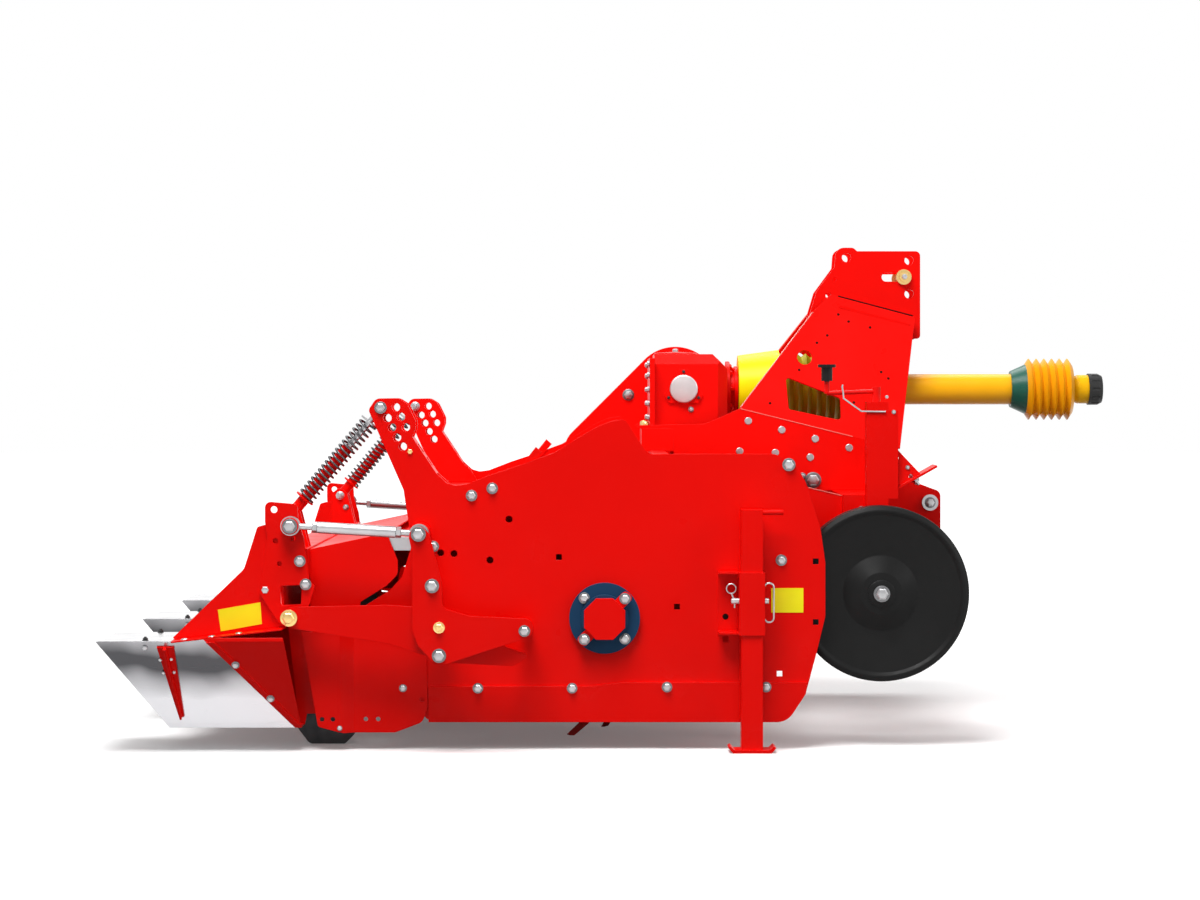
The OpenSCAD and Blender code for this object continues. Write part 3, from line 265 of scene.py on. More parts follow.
# A dark, rough steel; on the tail nuts it stands for painted shade.
metal("dark_steel", (0.045, 0.045, 0.047), rough=(0.45, 0.6), scale=60.0, depth=0.0001)
plastic("black_steel", BLACK, rough=(0.38, 0.5), gloss=0.12)
plastic("black_plastic", (0.02, 0.02, 0.02), rough=(0.4, 0.55), gloss=0.2)
paint("yellow_paint", (0.80, 0.42, 0.004))
plastic("yellow_plastic", (0.86, 0.56, 0.003))
plastic("orange_plastic", (0.84, 0.36, 0.003))
plastic("green_plastic", (0.005, 0.09, 0.06), rough=(0.25, 0.35))
plastic("label", (0.90, 0.82, 0.003), rough=(0.3, 0.4), scale=90.0)
metal("bright_cap", (0.55, 0.52, 0.52), rough=(0.35, 0.5))
# Near-black that paints the shade inside drilled bores and seams.
plastic("hole", (0.008, 0.004, 0.004), rough=(0.8, 0.9), gloss=0.05)
# Lighter, glossier red that paints highlights along edges.
paint("bright_edge", (0.86, 0.16, 0.13), rough=(0.2, 0.3), gloss=0.5)
# The sleeve inside the tower: yellow darkened as painted shade.
plastic("olive_plastic", (0.34, 0.31, 0.004), rough=(0.35, 0.45), gloss=0.2)

# Nodes whose finish isn't their slot's: the guard is lemon round the gearbox, its yellow darkened as
# painted shade in the tower and orange on the open tube, and the crank's arm is painted while its knob is
# black.
GUARD_STEP = at(692, 0, 0).x
KNOB_STEP = at(0, 0, 619).z
NODE_FINISH = {"pto_cone": "lemon_plastic", "pto_guard": "guard_plastic", "wheel_cranks": "crank_paint"}

plastic("lemon_plastic", LEMON, rough=(0.3, 0.4), gloss=0.12)
two_tone("guard_plastic", "X", GUARD_STEP, YELLOW_IN_PAINTED_SHADE, ORANGE, rough=(0.28, 0.38), gloss=0.2)
two_tone("crank_paint", "Z", KNOB_STEP, RED, BLACK, rough=(0.3, 0.4), gloss=0.15)

for entry in frame["record"]["subparts"]:
    mesh = frame["nodes"][entry["node"]].data
    mesh.materials.clear()
    mesh.materials.append(MATERIALS[NODE_FINISH.get(entry["node"], entry["material_slot"])])

# ---------------------------------------------------------------- mesh helpers


def add_object(name, data):
    """A new object in the scene."""
    made = bpy.data.objects.new(name, data)
    bpy.context.scene.collection.objects.link(made)
    return made


def unit(degrees):
    """Cosine and sine of an angle."""
    a = math.radians(degrees)
    return math.cos(a), math.sin(a)


def make_piece(bm, name, finish):
    """Turns a mesh in the making into a smooth piece with its material."""
    mesh = bpy.data.meshes.new(name)
    bmesh.ops.recalc_face_normals(bm, faces=bm.faces)
    bm.to_mesh(mesh)
    bm.free()
    mesh.materials.append(MATERIALS[finish])
    mesh.shade_smooth()
    return add_object(name, mesh)


# Edges that turn by more than this, in degrees, stay sharp.
SHARP_ANGLE = 35
BATCHES = {}


def batch(body, finish, kind):
    """The mesh in the making of all small things of one kind and finish on one body."""
    key = (body, finish, kind)
    if key not in BATCHES:
        BATCHES[key] = bmesh.new()
    return BATCHES[key]


def build_batches():
    """Makes one piece of each batch, which rides on its body."""
    for (body, finish, kind), bm in BATCHES.items():
        piece = make_piece(bm, f"{kind}_{finish}_{body}", finish)
        piece.data.set_sharp_from_angle(angle=math.radians(SHARP_ANGLE))
        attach(piece, body)


def facing(axis):
    """Rotation that turns +Z to an axis."""
    return Vector((0, 0, 1)).rotation_difference(Vector(axis).normalized()).to_matrix().to_4x4()


def ring_sweep(bm, rings, loop=False):
    """Skins a list of equal rings of points and closes its ends, or joins the last to the first."""
    rows = [[bm.verts.new(p) for p in ring] for ring in rings]
    n = len(rows[0])
    pairs = list(zip(rows, rows[1:])) + ([(rows[-1], rows[0])] if loop else [])
    for a, b in pairs:
        for i in range(n):
            j = (i + 1) % n
            bm.faces.new((a[i], a[j], b[j], b[i]))
    if not loop:
        bm.faces.new(list(reversed(rows[0])))
        bm.faces.new(rows[-1])


def turned(bm, place, axis, profile, sides=24):
    """A turned solid from (distance along the axis, radius) points in millimetres."""
    m = Matrix.Translation(place) @ facing(axis)
    rings = []
    for d, r in profile:
        ring = []
        for i in range(sides):
            a = math.tau * i / sides
            ring.append(m @ Vector((r * MM * math.cos(a), r * MM * math.sin(a), d * MM)))
        rings.append(ring)
    ring_sweep(bm, rings)


def bolt(body, place, axis, size, finish="zinc_plate", washer=True):
    """A hexagon bolt head on its washer, seated at place and facing along axis."""
    bm = batch(body, finish, "bolts")
    base = 0.0
    if washer:
        base = 0.2 * size
        # Dark washers under zinc heads: steel colour and painted shade round the head.
        ring = batch(body, "washer_steel" if finish == "zinc_plate" else finish, "washers")
        turned(ring, place, axis, [(-0.3, 1.14 * size), (base * 0.8, 1.14 * size), (base, 1.06 * size)])
    corner = 0.84 * size
    turned(bm, place, axis,
           [(base - 0.2, corner), (base + 0.5 * size, corner), (base + 0.62 * size, 0.8 * corner)], sides=6)
    turned(bm, place, axis, [(base + 0.5 * size, 0.62 * size), (base + 0.7 * size, 0.56 * size),
                             (base + 0.74 * size, 0.4 * size)])


def nut_and_stud(body, place, axis, size, stud, finish="zinc_plate"):
    """A nut on its washer with the end of its stud showing."""
    bm = batch(body, finish, "bolts")
    corner = 0.95 * size
    turned(bm, place, axis, [(-0.3, 1.2 * size), (0.16 * size, 1.2 * size), (0.2 * size, 1.13 * size)])
    turned(bm, place, axis, [(0.2 * size, 0.86 * corner), (0.28 * size, corner), (0.9 * size, corner),
                             (size, 0.84 * corner)], sides=6)
    turned(bm, place, axis, [(0.8 * size, 0.5 * size), (size + 0.8 * stud, 0.5 * size),
                             (size + stud, 0.4 * size)])


def rod(body, finish, points, radius, sides=10, kind="wire", loop=False):
    """A bent wire or rod through points counted from the rotor axis."""
    pts = [at(*p) for p in points]
    bm = batch(body, finish, kind)
    rings = []
    n = len(pts)
    side = None
    for i, p in enumerate(pts):
        before = pts[i - 1] if (i > 0 or loop) else pts[0]
        after = pts[(i + 1) % n] if (i < n - 1 or loop) else pts[-1]
        along = (after - before).normalized()
        if side is None:
            side = along.cross(Vector((0.13, 0.2, 0.97))).normalized()
        side = (side - along * side.dot(along)).normalized()
        up = along.cross(side)
        ring = []
        for k in range(sides):
            a = math.tau * k / sides
            ring.append(p + radius * MM * (side * math.cos(a) + up * math.sin(a)))
        rings.append(ring)
    ring_sweep(bm, rings, loop=loop)


def arc(centre, radius, start, end, steps):
    """Points of an arc in the side view's plane, between two angles in degrees."""
    x, y, z = centre
    out = []
    for i in range(steps + 1):
        c, s = unit(start + (end - start) * i / steps)
        out.append((x + radius * c, y, z + radius * s))
    return out


def slab(body, finish, corners, thickness, normal, kind):
    """A thin plate from its corners, counted from the rotor axis."""
    bm = batch(body, finish, kind)
    shift = Vector(normal).normalized() * thickness * MM
    lower = [bm.verts.new(at(*c)) for c in corners]
    upper = [bm.verts.new(at(*c) + shift) for c in corners]
    bm.faces.new(list(reversed(lower)))
    bm.faces.new(upper)
    for i in range(len(corners)):
        j = (i + 1) % len(corners)
        bm.faces.new((lower[i], lower[j], upper[j], upper[i]))


def bright_edge(body, points, radius):
    """A rounded edge along points, in a lighter, glossier red: a painted highlight."""
    rod(body, "bright_edge", points, radius, sides=6, kind="edges")


SIDES = (("right", -1), ("left", 1))
ROWS = (-750, 0, 750)
LEFT = Vector((0, 1, 0))

# Outer faces of the plates that carry fittings, counted from the middle of the machine
SIDE_Y = 745
THIN_PLATE = 6
STRIP_OUT = SIDE_Y + 8
JOGGLE_OUT = 776
WING_OUT = 832
BRACKET_OUT = 842
LINK_PIN_OUT = 872
TIE_PIN_OUT = 876
LEVER_OUT = 890
CHEEK_IN = 655
RAIL_OUT = 515
TOWER_OUT = 200
MAST_OUT = 84

# Pins and axes that several functions use
INPUT_X = 224
INPUT_Z = 601
TIE_FRONT = Vector((-478, 858, 226))
STRUT_HEAD = Vector((-586, 700, 550))
STRUT_FOOT = Vector((-821, 700, 273))

# ---------------------------------------------------------------- bolts


def side_bolts():
    """Bolts on the side plates, strips and extension plates of both sides."""
    for name, k in SIDES:
        out = (0, k, 0)
        for x, z in ((-348, 320), (-294, 339), (-448, 187), (462, 151)):
            if name == "left" and x > 0:
                continue
            bolt("chassis", at(x, k * SIDE_Y, z), out, 13)
        bolt("chassis", at(482, k * SIDE_Y, 401), out, 15)
        for x, z in ((-331, -183), (-85, -183), (163, -180), (422, -180)):
            bolt("chassis", at(x, k * STRIP_OUT, z), out, 12)
        bolt("chassis", at(-527, k * (SIDE_Y + THIN_PLATE), -183), out, 9)
        bolt("chassis", at(-690, k * JOGGLE_OUT, -285), out, 6)
        bolt("chassis", at(-509, k * SIDE_Y, 435), out, 8, "brass_plate", washer=False)


def lever_bolts():
    """Bolts of the lever plates, the highest on the tie rods' front pins."""
    for _, k in SIDES:
        out = (0, k, 0)
        bolt("chassis", at(TIE_FRONT.x, k * LEVER_OUT, TIE_FRONT.z), out, 17)
        bolt("chassis", at(-443, k * LEVER_OUT, 93), out, 16)
        bolt("chassis", at(-425, k * LEVER_OUT, -14), out, 13, "brass_plate")
        bolt("chassis", at(-425, k * LEVER_OUT, -86), out, 16)
        bolt("chassis", at(-206, k * LEVER_OUT, -22.5), out, 13)


def hood_bolts():
    """Bolts on the hood's pins for tie rods and lower links, and on its brackets and wings."""
    for _, k in SIDES:
        out = (0, k, 0)
        bolt("hood", at(-809.4, k * TIE_PIN_OUT, 245.7), out, 17)
        bolt("hood", at(-812.3, k * LINK_PIN_OUT, 9), out, 19, "brass_plate")
        for x, z, y in ((-787, 154, BRACKET_OUT), (-772, 94, BRACKET_OUT), (-877, 79, WING_OUT)):
            bolt("hood", at(x, k * y, z), out, 13)


BEARING_FACE = SIDE_Y + 16
CAP_EARS = SIDE_Y + 36
BEARING_RING = 75 * math.sin(math.radians(45))


def bearing_bolts():
    """Four bolts of the bearing, two of them on the ears of its cap."""
    for sx in (-1, 1):
        for sz in (-1, 1):
            y = CAP_EARS if sx == sz else BEARING_FACE
            bolt("chassis", at(sx * BEARING_RING, -y, sz * BEARING_RING), (0, -1, 0), 13)


def bearing_step():
    """Raised middle of the bearing's housing, round the cap."""
    turned(batch("chassis", "blue_paint", "fittings"), at(0, -BEARING_FACE, 0), (0, -1, 0),
           [(-0.3, 60), (2, 60), (4, 57), (4, 0.5)], sides=64)


AXLE_X = 728
AXLE_Z = 61
HUB_OUT = 711
HUB_DISC = 6.5


def wheel_bolts():
    """A stepped disc and a bolt on the hub of each depth wheel."""
    for name, k in SIDES:
        wheel = "depth_wheel_" + name
        turned(batch(wheel, "black_steel", "hubs"), at(AXLE_X, k * HUB_OUT, AXLE_Z), (0, k, 0),
               [(0, 36), (4, 36), (6, 33), (HUB_DISC, 0.5)], sides=48)
        bolt(wheel, at(AXLE_X, k * (HUB_OUT + HUB_DISC - 0.1), AXLE_Z), (0, k, 0), 19)


def arm_bolts():
    """Pins that hold the struts between the cheeks of the spring arms."""
    for _, k in SIDES:
        bolt("chassis", at(STRUT_HEAD.x, k * SIDE_Y, STRUT_HEAD.z), (0, k, 0), 14)
        nut_and_stud("chassis", at(STRUT_HEAD.x, k * CHEEK_IN, STRUT_HEAD.z), (0, -k, 0), 12, 8)


# The drive case in side view: rounds on the input's and the rotor's axis, joined by straight rims
CASE_OUT = SIDE_Y + 90
CASE_TOP = Vector((INPUT_X, INPUT_Z))
CASE_FOOT = Vector((0, 0))
CASE_TOP_R = 136
CASE_FOOT_R = 150
CASE_RIM = 22
CASE_CORNER = Vector((-122, 447))


def inside_line(start, end, shares, inset):
    """Points along a line at shares of its length, moved to its right by inset."""
    along = (end - start).normalized()
    right = Vector((along.y, -along.x))
    return [start.lerp(end, t) + right * inset for t in shares]


def on_circle(centre, radius, angles):
    """Points of a circle in side view, at angles in degrees."""
    return [centre + radius * Vector(unit(a)) for a in angles]


def drive_bolts():
    """Bolts on the rim of the drive case, a plug and a bolt on each axle boss."""
    half = CASE_RIM / 2
    crown = CASE_TOP + CASE_TOP_R * Vector((-1, 1)) / math.sqrt(2)
    places = on_circle(CASE_TOP, CASE_TOP_R - half, range(-8, 120, 32))
    places += on_circle(CASE_FOOT, CASE_FOOT_R - half, range(196, 340, 32))
    places += inside_line(CASE_CORNER, crown, (0.2, 0.55, 0.9), half)
    places += inside_line(CASE_FOOT - Vector((CASE_FOOT_R, 0)), CASE_CORNER, (0.1, 0.37, 0.64, 0.9), half)
    places += inside_line(CASE_TOP + Vector((CASE_TOP_R, 0)), CASE_FOOT + Vector((CASE_FOOT_R, 0)),
                          (0.16, 0.38, 0.6, 0.82), half)
    for p in places:
        bolt("chassis", at(p.x, CASE_OUT, p.y), (0, 1, 0), 8)
    for p in (CASE_TOP, CASE_FOOT):
        for q in on_circle(p, 33, range(30, 390, 120)):
            bolt("chassis", at(q.x, CASE_OUT + 12, q.y), (0, 1, 0), 6, washer=False)
    for x, z in ((-20, 330), (60, -104)):
        bolt("chassis", at(x, CASE_OUT + 6, z), (0, 1, 0), 12, "brass_plate")
    bolt("chassis", at(77, SIDE_Y, 586), (0, -1, 0), 16)


def tower_bolts():
    """Two rows of flat heads below the tower's fold, and two bolts near its lower edge."""
    for _, k in SIDES:
        out = (0, k, 0)
        for x, z in ((404, 511), (498, 486), (592, 461), (687, 436), (380, 426), (480, 422), (578, 409)):
            turned(batch("chassis", "zinc_plate", "bolts"), at(x, k * TOWER_OUT, z), out,
                   [(-0.3, 10.5), (1, 10.5), (2.2, 9), (2.4, 0.5)])
        bolt("chassis", at(586, k * TOWER_OUT, 345), out, 20)
        bolt("chassis", at(557, k * TOWER_OUT, 357), out, 8)


# The tower plates stand upright below a sloping fold and lean inward above it.
FOLD = Vector((380, TOWER_OUT, 546))
FOLD_C, FOLD_S = unit(13.94)
LEAN_C, LEAN_S = unit(16.5)


def on_tower(x, z, k):
    """Place and outward direction on the leaning tower plate at a side-view point."""
    up = (x - FOLD.x) * FOLD_S + (z - FOLD.z) * FOLD_C
    y = FOLD.y - up * LEAN_S / LEAN_C
    return at(x, k * y, z), Vector((FOLD_S * LEAN_S, LEAN_C * k, FOLD_C * LEAN_S))


def pin_hole(body, place, axis, radius):
    """Mouth of a small drilled bore: a flat disc of painted shade."""
    turned(batch(body, "hole", "holes"), place, axis,
           [(-0.3, radius), (0.25, radius), (0.3, 0.6 * radius)], sides=16)


def small_holes():
    """Holes in the tower plates, the stands' brackets and the side plates, drawn as discs of painted shade.
    """
    for _, k in SIDES:
        for x, z in ((665, 813), (694, 793), (755, 776), (632, 753), (602, 732), (550, 655), (466, 561),
                     (783, 649), (803, 631), (703, 563)):
            place, normal = on_tower(x, z, k)
            pin_hole("chassis", place, normal, 3.6)
        pin_hole("chassis", at(316, k * (SIDE_Y + THIN_PLATE), 4), (0, k, 0), 8)
        pin_hole("chassis", at(-462, k * SIDE_Y, 168), (0, k, 0), 4)


def tower_point(u, w, k):
    """A point of the leaning plate from its place along the fold, u, and up the plate, w."""
    rise = w * LEAN_C
    return (FOLD.x + u * FOLD_C + rise * FOLD_S, k * (FOLD.y - w * LEAN_S),
            FOLD.z - u * FOLD_S + rise * FOLD_C)


def tower_edges():
    """Painted highlights along the tower's rear rim, its fold and the rails, and a painted shadow in the
    seam under the mast.
    """
    for _, k in SIDES:
        rim = [tower_point(u, w, k) for u, w in ((1, 3), (47, 111), (94, 222), (140, 330))]
        bright_edge("chassis", rim, 1.8)
        fold = [tower_point(u, 0, k) for u in (3, 110, 220, 327)]
        bright_edge("chassis", fold, 1.5)
        rail = [(x, k * RAIL_OUT, z) for x, z in ((550, 333.5), (595, 322.7), (639, 312.2))]
        bright_edge("chassis", rail, 1.5)
        # A near-black rod paints the shadow in the seam under the mast.
        seam = [tower_point(u, w, k) for u, w in ((200, 395.4), (420, 391.9))]
        rod("chassis", "hole", seam, 1.8, sides=6, kind="seams")


def front_bolts():
    """Bolts of the columns, their slanting brackets and the hitch."""
    slant = Vector((-0.492, 0, 0.871))
    for _, k in SIDES:
        out = (0, k, 0)
        bolt("chassis", at(771, k * 604, 538), out, 5)
        bolt("chassis", at(883, k * 475, 292), out, 13)
        for y in (520, 575):
            bolt("chassis", at(829, k * y, 364), slant, 9)
            nut_and_stud("chassis", at(832, k * y, 358.5), -slant, 9, 9)
        for x, z in ((690, 236), (690, 276), (742, 256)):
            bolt("chassis", at(x, k * 546, z), out, 8)
        bolt("chassis", at(809.5, k * 589, 390), out, 5)
        bolt("chassis", at(754, k * 586, 578), out, 6, washer=False)
        bolt("chassis", at(855, k * MAST_OUT, 921), out, 10, washer=False)


TAIL_TOP = -49
TAIL_END = -1300
DECK_END = -1111
DECK_RISE = math.tan(math.radians(6.5))
DECK_NORMAL = (-0.113, 0, 0.994)
DECK_BOLT_Y = 128


def deck_bolts():
    """Carriage bolts that hold the formers under the deck."""
    for row in ROWS:
        for k in (-1, 1):
            for x in (-1080, -1010, -940):
                place = at(x, row + k * DECK_BOLT_Y, TAIL_TOP + (x - DECK_END) * DECK_RISE)
                turned(batch("hood", "zinc_plate", "bolts"), place, DECK_NORMAL,
                       [(-0.3, 10), (1.5, 9), (3, 6), (3.6, 0.5)])


# ---------------------------------------------------------------- small fittings


GEARBOX_COVER = 160


def gearbox_side():
    """Blank round cap, cover screws and plug on the gearbox's right side."""
    turned(batch("chassis", "bright_cap", "caps"), at(INPUT_X, 0.2 - GEARBOX_COVER, INPUT_Z), (0, -1, 0),
           [(0, 39.5), (3, 39.5), (4.5, 38), (5, 36), (5.2, 0.5)], sides=64)
    for a in (90, 210, 330):
        c, s = unit(a)
        place = at(INPUT_X + 49 * c, 4 - GEARBOX_COVER, INPUT_Z + 49 * s)
        bolt("chassis", place, (0, -1, 0), 5.5, "dark_steel", washer=False)
    bolt("chassis", at(245, -150, 543), (0, -1, 0), 7)
    for z in (520, 560, 600, 640, 672):
        for k in (-1, 1):
            bolt("chassis", at(128, k * 168, z), (-1, 0, 0), 9)


GEARBOX_FRONT = 360


def gearbox_front():
    """Ring of bolts, two steps and six pairs of ribs round the gearbox's input."""
    for a in range(0, 360, 45):
        c, s = unit(a)
        bolt("chassis", at(GEARBOX_FRONT, 66 * c, INPUT_Z + 66 * s), (1, 0, 0), 7, "red_paint")
    steps = batch("chassis", "red_paint", "fittings")
    turned(steps, at(GEARBOX_FRONT - 11, 0, INPUT_Z), (1, 0, 0), [(-0.3, 80), (9, 80), (11, 78), (11, 40)],
           sides=64)
    turned(steps, at(GEARBOX_FRONT + 12, 0, INPUT_Z), (1, 0, 0), [(0, 64), (1, 66), (9, 66), (11, 64)],
           sides=64)
    ahead = Vector((12, 0, 0))
    for a in range(0, 360, 60):
        c, s = unit(a)
        across = Vector((0, -s, c)) * 4
        rise = Vector((0, 24 * c, 24 * s))
        for side in (-1, 1):
            foot = Vector((GEARBOX_FRONT, 55 * c, INPUT_Z + 55 * s)) + side * across
            corners = [foot, foot + rise, foot + rise * 0.4 + ahead, foot + ahead]
            slab("chassis", "red_paint", corners, 4, side * across * -1, kind="ribs")


def gearbox_top():
    """Lid and breather on the gearbox, and a brass fitting beside each of its rear edges."""
    turned(batch("chassis", "red_paint", "fittings"), at(206, 20, 700), (0, 0, 1),
           [(-0.3, 62), (4, 62), (6, 58), (8, 20), (8, 0.5)], sides=48)
    turned(batch("chassis", "zinc_plate", "fittings"), at(205, 20, 708), (0, 0, 1),
           [(-0.3, 8), (8, 8), (9, 6), (10, 0.5)])
    for k in (-1, 1):
        turned(batch("chassis", "brass_plate", "fittings"), at(116.5, k * 180, 489.7), (0, 0, 1),
               [(0, 11), (15, 11), (19, 8), (21, 0.5)])


RIBS = 7
RIB_DEPTH = 11
SLEEVE_BACK = 496
SLEEVE_LENGTH = 184
SLEEVE_WIDE = 109
SLEEVE_NARROW = 94


def rear_bellows():
    """Wide ribbed sleeve between the guard cone and the guard tube, inside the tower; its dark yellow is
    painted shade.
    """
    profile = [(0, 90)]
    for i in range(2 * RIBS + 1):
        share = i / (2 * RIBS)
        outer = SLEEVE_WIDE + (SLEEVE_NARROW - SLEEVE_WIDE) * share
        profile.append((4 + SLEEVE_LENGTH * share, outer - (RIB_DEPTH if i % 2 else 0)))
    profile.append((SLEEVE_LENGTH + 8, 70))
    turned(batch("chassis", "olive_plastic", "sleeve"), at(SLEEVE_BACK, 0, INPUT_Z), (1, 0, 0), profile,
           sides=64)


def rear_stays():
    """Short bent stay on the rotor cover beside each side plate."""
    for _, k in SIDES:
        corners = [(x, k * 728, z) for x, z in ((-256, 352), (-240, 344), (-163, 432), (-180, 447))]
        slab("chassis", "red_paint", corners, 6, (0, k, 0), kind="stays")


STAND_Y = 796


def stand_details():
    """Locking pin with its lynch ring behind the sleeve and wire loop ahead of it."""
    for _, k in SIDES:
        y = k * STAND_Y
        bm = batch("chassis", "zinc_plate", "fittings")
        turned(bm, at(348.2, y, 48), (-1, 0, 0), [(-1, 8), (18, 8), (20, 6), (20.5, 0.5)])
        turned(bm, at(415.8, y, 48), (1, 0, 0), [(-1, 8), (10, 8), (11, 6), (11.5, 0.5)])
        loop = arc((427, y, 82), 12.5, 0, 180, 12) + arc((427, y, 5), 12.5, 180, 360, 12)
        rod("chassis", "zinc_plate", loop, 2.6, loop=True)
        ring = arc((329, y, 80), 12.5, 0, 345, 22)
        rod("chassis", "zinc_plate", ring, 1.8, loop=True)
        tongue = [(x, y, z) for x, z in ((330, 68), (333, 60), (337, 52), (338, 44), (338, 30))]
        rod("chassis", "zinc_plate", tongue, 2.6)


def crank_details():
    """Bent wire beside each column that locks its crank."""
    bends = ((635, 611), (633, 606), (636, 590), (637, 574), (662, 556), (684, 540), (749, 539))
    for _, k in SIDES:
        rod("chassis", "zinc_plate", [(x, k * 607, z) for x, z in bends], 2.6)


def label(body, corners, k):
    """A blank yellow plate."""
    slab(body, "label", corners, 1.2, (0, k, 0), kind="blank_plates")


def labels():
    """Plates on the hood's wings and on the right side plate."""
    on_wing = ((-1000, 28), (-890, 47), (-886, -9), (-992, -28))
    for _, k in SIDES:
        label("hood", [(x, k * WING_OUT, z) for x, z in on_wing], k)
    label("chassis", [(x, -SIDE_Y, z) for x, z in ((436, 78), (520, 78), (520, 14), (436, 14))], -1)


# The springs: distance of a seat from its pin, turns, and radii of the coil and its wire
SEAT = 52
SPRING_TURNS = 18
SPRING_R = 22
SPRING_WIRE = 3
TURN_STEPS = 22
WIRE_SIDES = 8


def coil(bm, k, along):
    """One spring between its seats, on the side k, with its axis along the strut."""
    side = LEFT.cross(along).normalized()
    length = (STRUT_HEAD - STRUT_FOOT).length - 2 * SEAT - 2 * SPRING_WIRE
    count = SPRING_TURNS * TURN_STEPS
    rings = []
    for i in range(count + 1):
        a = math.tau * i / TURN_STEPS
        out = side * math.cos(a) + LEFT * math.sin(a)
        centre = STRUT_FOOT + along * (SEAT + SPRING_WIRE + length * (i / count)) + out * SPRING_R
        ring = []
        for j in range(WIRE_SIDES):
            b = math.tau * j / WIRE_SIDES
            p = centre + SPRING_WIRE * (out * math.cos(b) + along * math.sin(b))
            ring.append(at(p.x, k * p.y, p.z))
        rings.append(ring)
    ring_sweep(bm, rings)


def springs():
    """The two coil springs, which ride on the strut rods at one length; the real springs shorten as the
    hood rises.
    """
    along = (STRUT_HEAD - STRUT_FOOT).normalized()
    bm = bmesh.new()
    for k in (-1, 1):
        coil(bm, k, along)
    piece = make_piece(bm, "strut_springs", "spring_steel")
    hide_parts("springs")
    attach(piece, "strut_rods")
    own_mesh(piece)


def tie_rod_details():
    """Lock nuts at both ends of the turnbuckles."""
    c, s = unit(3.4)
    along = Vector((-c, 0, s))
    nut = [(0, 13), (1, 14.5), (12.5, 14.5), (13.5, 13)]
    for _, k in SIDES:
        bm = batch("tie_rods", "zinc_plate", "fittings")
        for start in (46, 262.5):
            p = TIE_FRONT + along * start
            turned(bm, at(p.x, k * p.y, p.z), along, nut, sides=6)


def tail_sheets():
    """Flat sheets that close the formers' tails, with the nuts of their edges, drawn dark as painted shade.
    """
    half = 143
    front = DECK_END - 1
    z = TAIL_TOP - 1.5
    for row in ROWS:
        corners = [(TAIL_END, row - half, z), (TAIL_END, row + half, z), (front, row + half, z),
                   (front, row - half, z)]
        slab("hood", "bright_sheet", corners, 2.5, (0, 0, 1), kind="tails")
        for k in (-1, 1):
            place = at(-1180, row + k * DECK_BOLT_Y, TAIL_TOP + 1)
            # The nuts take the dark steel finish as painted shade.
            nut_and_stud("hood", place, (0, 0, 1), 7, 3, "dark_steel")


# The formers' leaning flanks: half width at the foot, height of the foot, and rise over width
FLANK_HALF = 40
FLANK_FOOT = -282
FLANK_SLOPE = 2.118


def flank_point(row, k, x, z, proud):
    """A point a little outside a former's flank."""
    return (x, row + k * (FLANK_HALF + proud + (z - FLANK_FOOT) / FLANK_SLOPE), z)


def flank_normal(k):
    """Outward direction of a former's flank."""
    return Vector((0, k * 0.9, -0.42))


def split_strips():
    """Painted strip along the front edge of each former, under its screws."""
    outline = ((-1022, -50), (-1000, -50), (-790, -274), (-806, -274))
    for row in ROWS:
        for k in (-1, 1):
            corners = [flank_point(row, k, x, z, 0.2) for x, z in outline]
            slab("hood", "red_paint", corners, 3, flank_normal(k), kind="strips")


def fork_nuts():
    """Nuts of the strut pins and screws of their forks."""
    half = 28
    for _, k in SIDES:
        for way in (-1, 1):
            y = k * (STRUT_FOOT.y + half * way)
            nut_and_stud("hood", at(STRUT_FOOT.x, y, STRUT_FOOT.z), (0, k * way, 0), 11, 5)
            bolt("hood", at(-803, y, 236), (0, k * way, 0), 8)


def former_details():
    """Screws of the formers' front edges and of the ribbed straps on their tails."""
    for row in ROWS:
        for k in (-1, 1):
            out = flank_normal(k)
            for x, z in ((-949, -111), (-864, -202)):
                bolt("hood", at(*flank_point(row, k, x, z, 3)), out, 9)
            bolt("hood", at(*flank_point(row, k, -1179, -65, 0.3)), out, 8, washer=False)
            for x, z in ((-1141, -97), (-1113, -95), (-1135, -132), (-1108, -130)):
                bolt("hood", at(*flank_point(row, k, x, z, 5.2)), out, 5.5, washer=False)


# ---------------------------------------------------------------- floor, light and camera


def seen_directly(tree):
    """1 for what the camera sees, also in a mirror or through glass, and 0 for soft light."""
    path = tree.nodes.new("ShaderNodeLightPath")
    total = path.outputs["Is Camera Ray"]
    for name in ("Is Glossy Ray", "Is Transmission Ray"):
        total = combine(tree, "MAXIMUM", total, path.outputs[name])
    return total


WHITE = (1, 1, 1, 1)
FLOOR_SIZE = 40.0
FLOOR_NEAR = 2.3
FLOOR_FAR = 4.6
FLOOR_SEEN = (0.88, 0.88, 0.88)
FLOOR_BOUNCE = (0.26, 0.26, 0.26)
GLOW_NEAR = 0.12
GLOW_FAR = 0.9
WORLD_SOFT = 0.34


def floor_glow(tree):
    """Light of the floor's own, weak near the machine and nearly white far from it."""
    coords = tree.nodes.new("ShaderNodeTexCoord")
    reach = tree.nodes.new("ShaderNodeVectorMath")
    reach.operation = "LENGTH"
    tree.links.new(coords.outputs["Object"], reach.inputs[0])
    fade = map_range(tree, reach.outputs["Value"], FLOOR_NEAR, FLOOR_FAR, GLOW_NEAR, GLOW_FAR, "SMOOTHSTEP")
    glow = tree.nodes.new("ShaderNodeEmission")
    glow.inputs["Color"].default_value = WHITE
    tree.links.new(combine(tree, "MULTIPLY", seen_directly(tree), fade), glow.inputs["Strength"])
    return glow


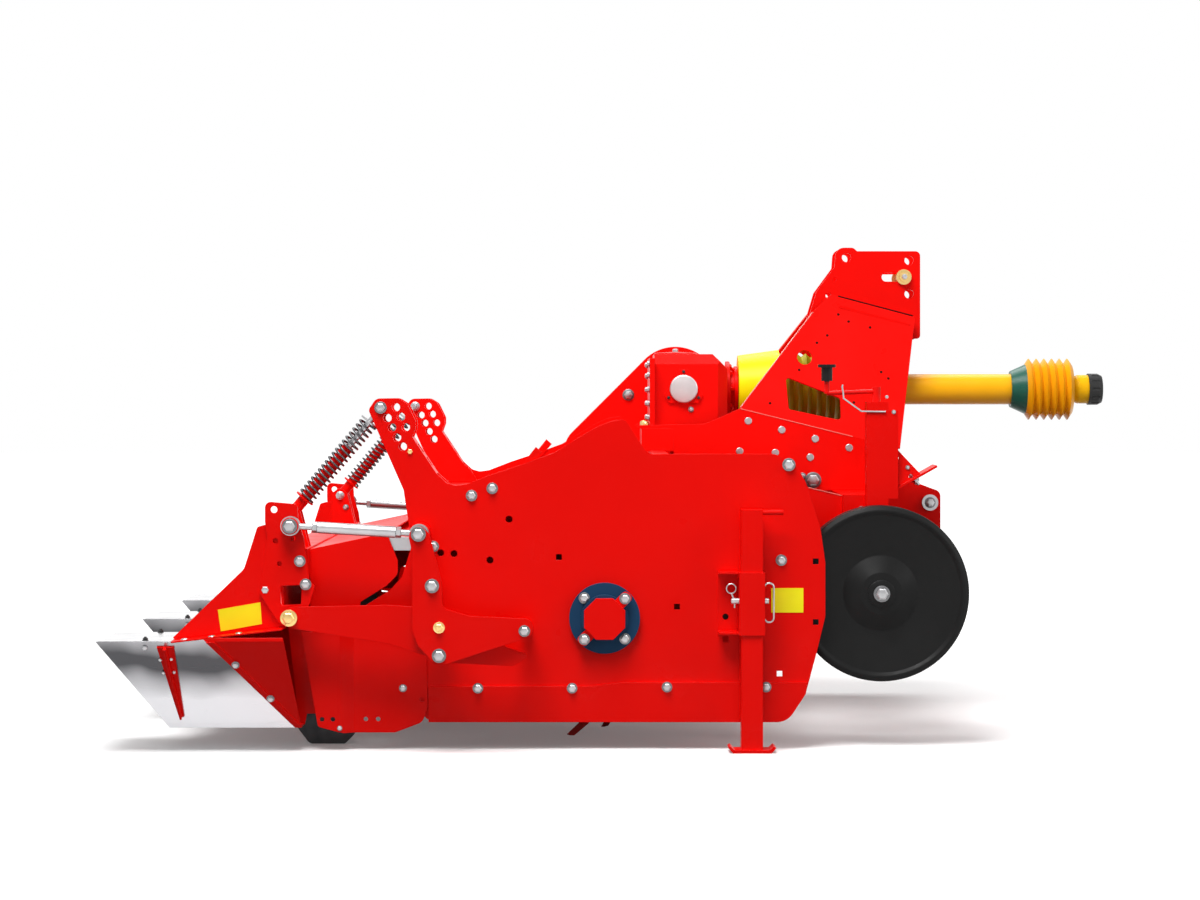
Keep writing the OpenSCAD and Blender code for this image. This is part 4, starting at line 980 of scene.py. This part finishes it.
def floor_material():
    """White to the eye and darker for the light that it throws back on the machine."""
    tree, shader = new_material("floor")
    tint = ramp(tree, seen_directly(tree), [(0.0, FLOOR_BOUNCE), (1.0, FLOOR_SEEN)])
    tree.links.new(tint, shader.inputs["Base Color"])
    shader.inputs["Roughness"].default_value = 0.9
    shader.inputs["Specular IOR Level"].default_value = 0.1
    add = tree.nodes.new("ShaderNodeAddShader")
    tree.links.new(shader.outputs[0], add.inputs[0])
    tree.links.new(floor_glow(tree).outputs[0], add.inputs[1])
    tree.links.new(add.outputs[0], tree.nodes["Material Output"].inputs["Surface"])


def stage():
    """A white floor that keeps its shadows near the machine and fades into the background."""
    mesh = bpy.data.meshes.new("floor")
    e = FLOOR_SIZE
    mesh.from_pydata([(-e, -e, 0), (e, -e, 0), (e, e, 0), (-e, e, 0)], [], [(0, 1, 2, 3)])
    floor = add_object("floor", mesh)
    floor_material()
    mesh.materials.append(MATERIALS["floor"])


def studio():
    """A world that is white to the eye and gives soft light."""
    world = bpy.data.worlds.new("studio")
    bpy.context.scene.world = world
    world.use_nodes = True
    tree = world.node_tree
    back = tree.nodes["Background"]
    level = map_range(tree, seen_directly(tree), 0.0, 1.0, WORLD_SOFT, 1.0)
    tree.links.new(level, back.inputs["Strength"])
    back.inputs["Color"].default_value = WHITE


def area_light(name, place, target, size, power):
    """A square lamp that faces a target; places and size in metres, power in watts."""
    data = bpy.data.lights.new(name, "AREA")
    data.size = size
    data.energy = power
    lamp = add_object(name, data)
    lamp.location = place
    lamp.rotation_mode = "QUATERNION"
    lamp.rotation_quaternion = (Vector(target) - Vector(place)).to_track_quat("-Z", "Y")


CAMERA_PLACE = (-0.074, -8.2, 0.914)
CAMERA_LENS = 85.5
CAMERA_SHIFT = -50 / 1200


def camera():
    """Level camera on the right side; it looks along +Y at the height of the photograph's horizon."""
    data = bpy.data.cameras.new("camera")
    data.sensor_width = 36
    data.lens = CAMERA_LENS
    data.shift_y = CAMERA_SHIFT
    cam = add_object("camera", data)
    cam.location = CAMERA_PLACE
    cam.rotation_euler = (math.radians(90), 0, 0)
    bpy.context.scene.camera = cam


side_bolts()
lever_bolts()
hood_bolts()
bearing_bolts()
bearing_step()
wheel_bolts()
arm_bolts()
drive_bolts()
tower_bolts()
small_holes()
tower_edges()
front_bolts()
deck_bolts()
gearbox_side()
gearbox_front()
gearbox_top()
rear_bellows()
rear_stays()
stand_details()
crank_details()
labels()
springs()
tie_rod_details()
tail_sheets()
split_strips()
fork_nuts()
former_details()
build_batches()

stage()
studio()
area_light("key", (-0.8, -2.7, 4.8), target=(0, -0.6, 0.7), size=2.4, power=310)
area_light("top", (0.4, 2.2, 4.6), target=(0, 0.4, 0), size=3.0, power=120)
area_light("side", (4.2, -2.6, 2.4), target=(0, 0, 0.6), size=2.0, power=45)
camera()
bpy.context.scene.view_settings.view_transform = "Standard"
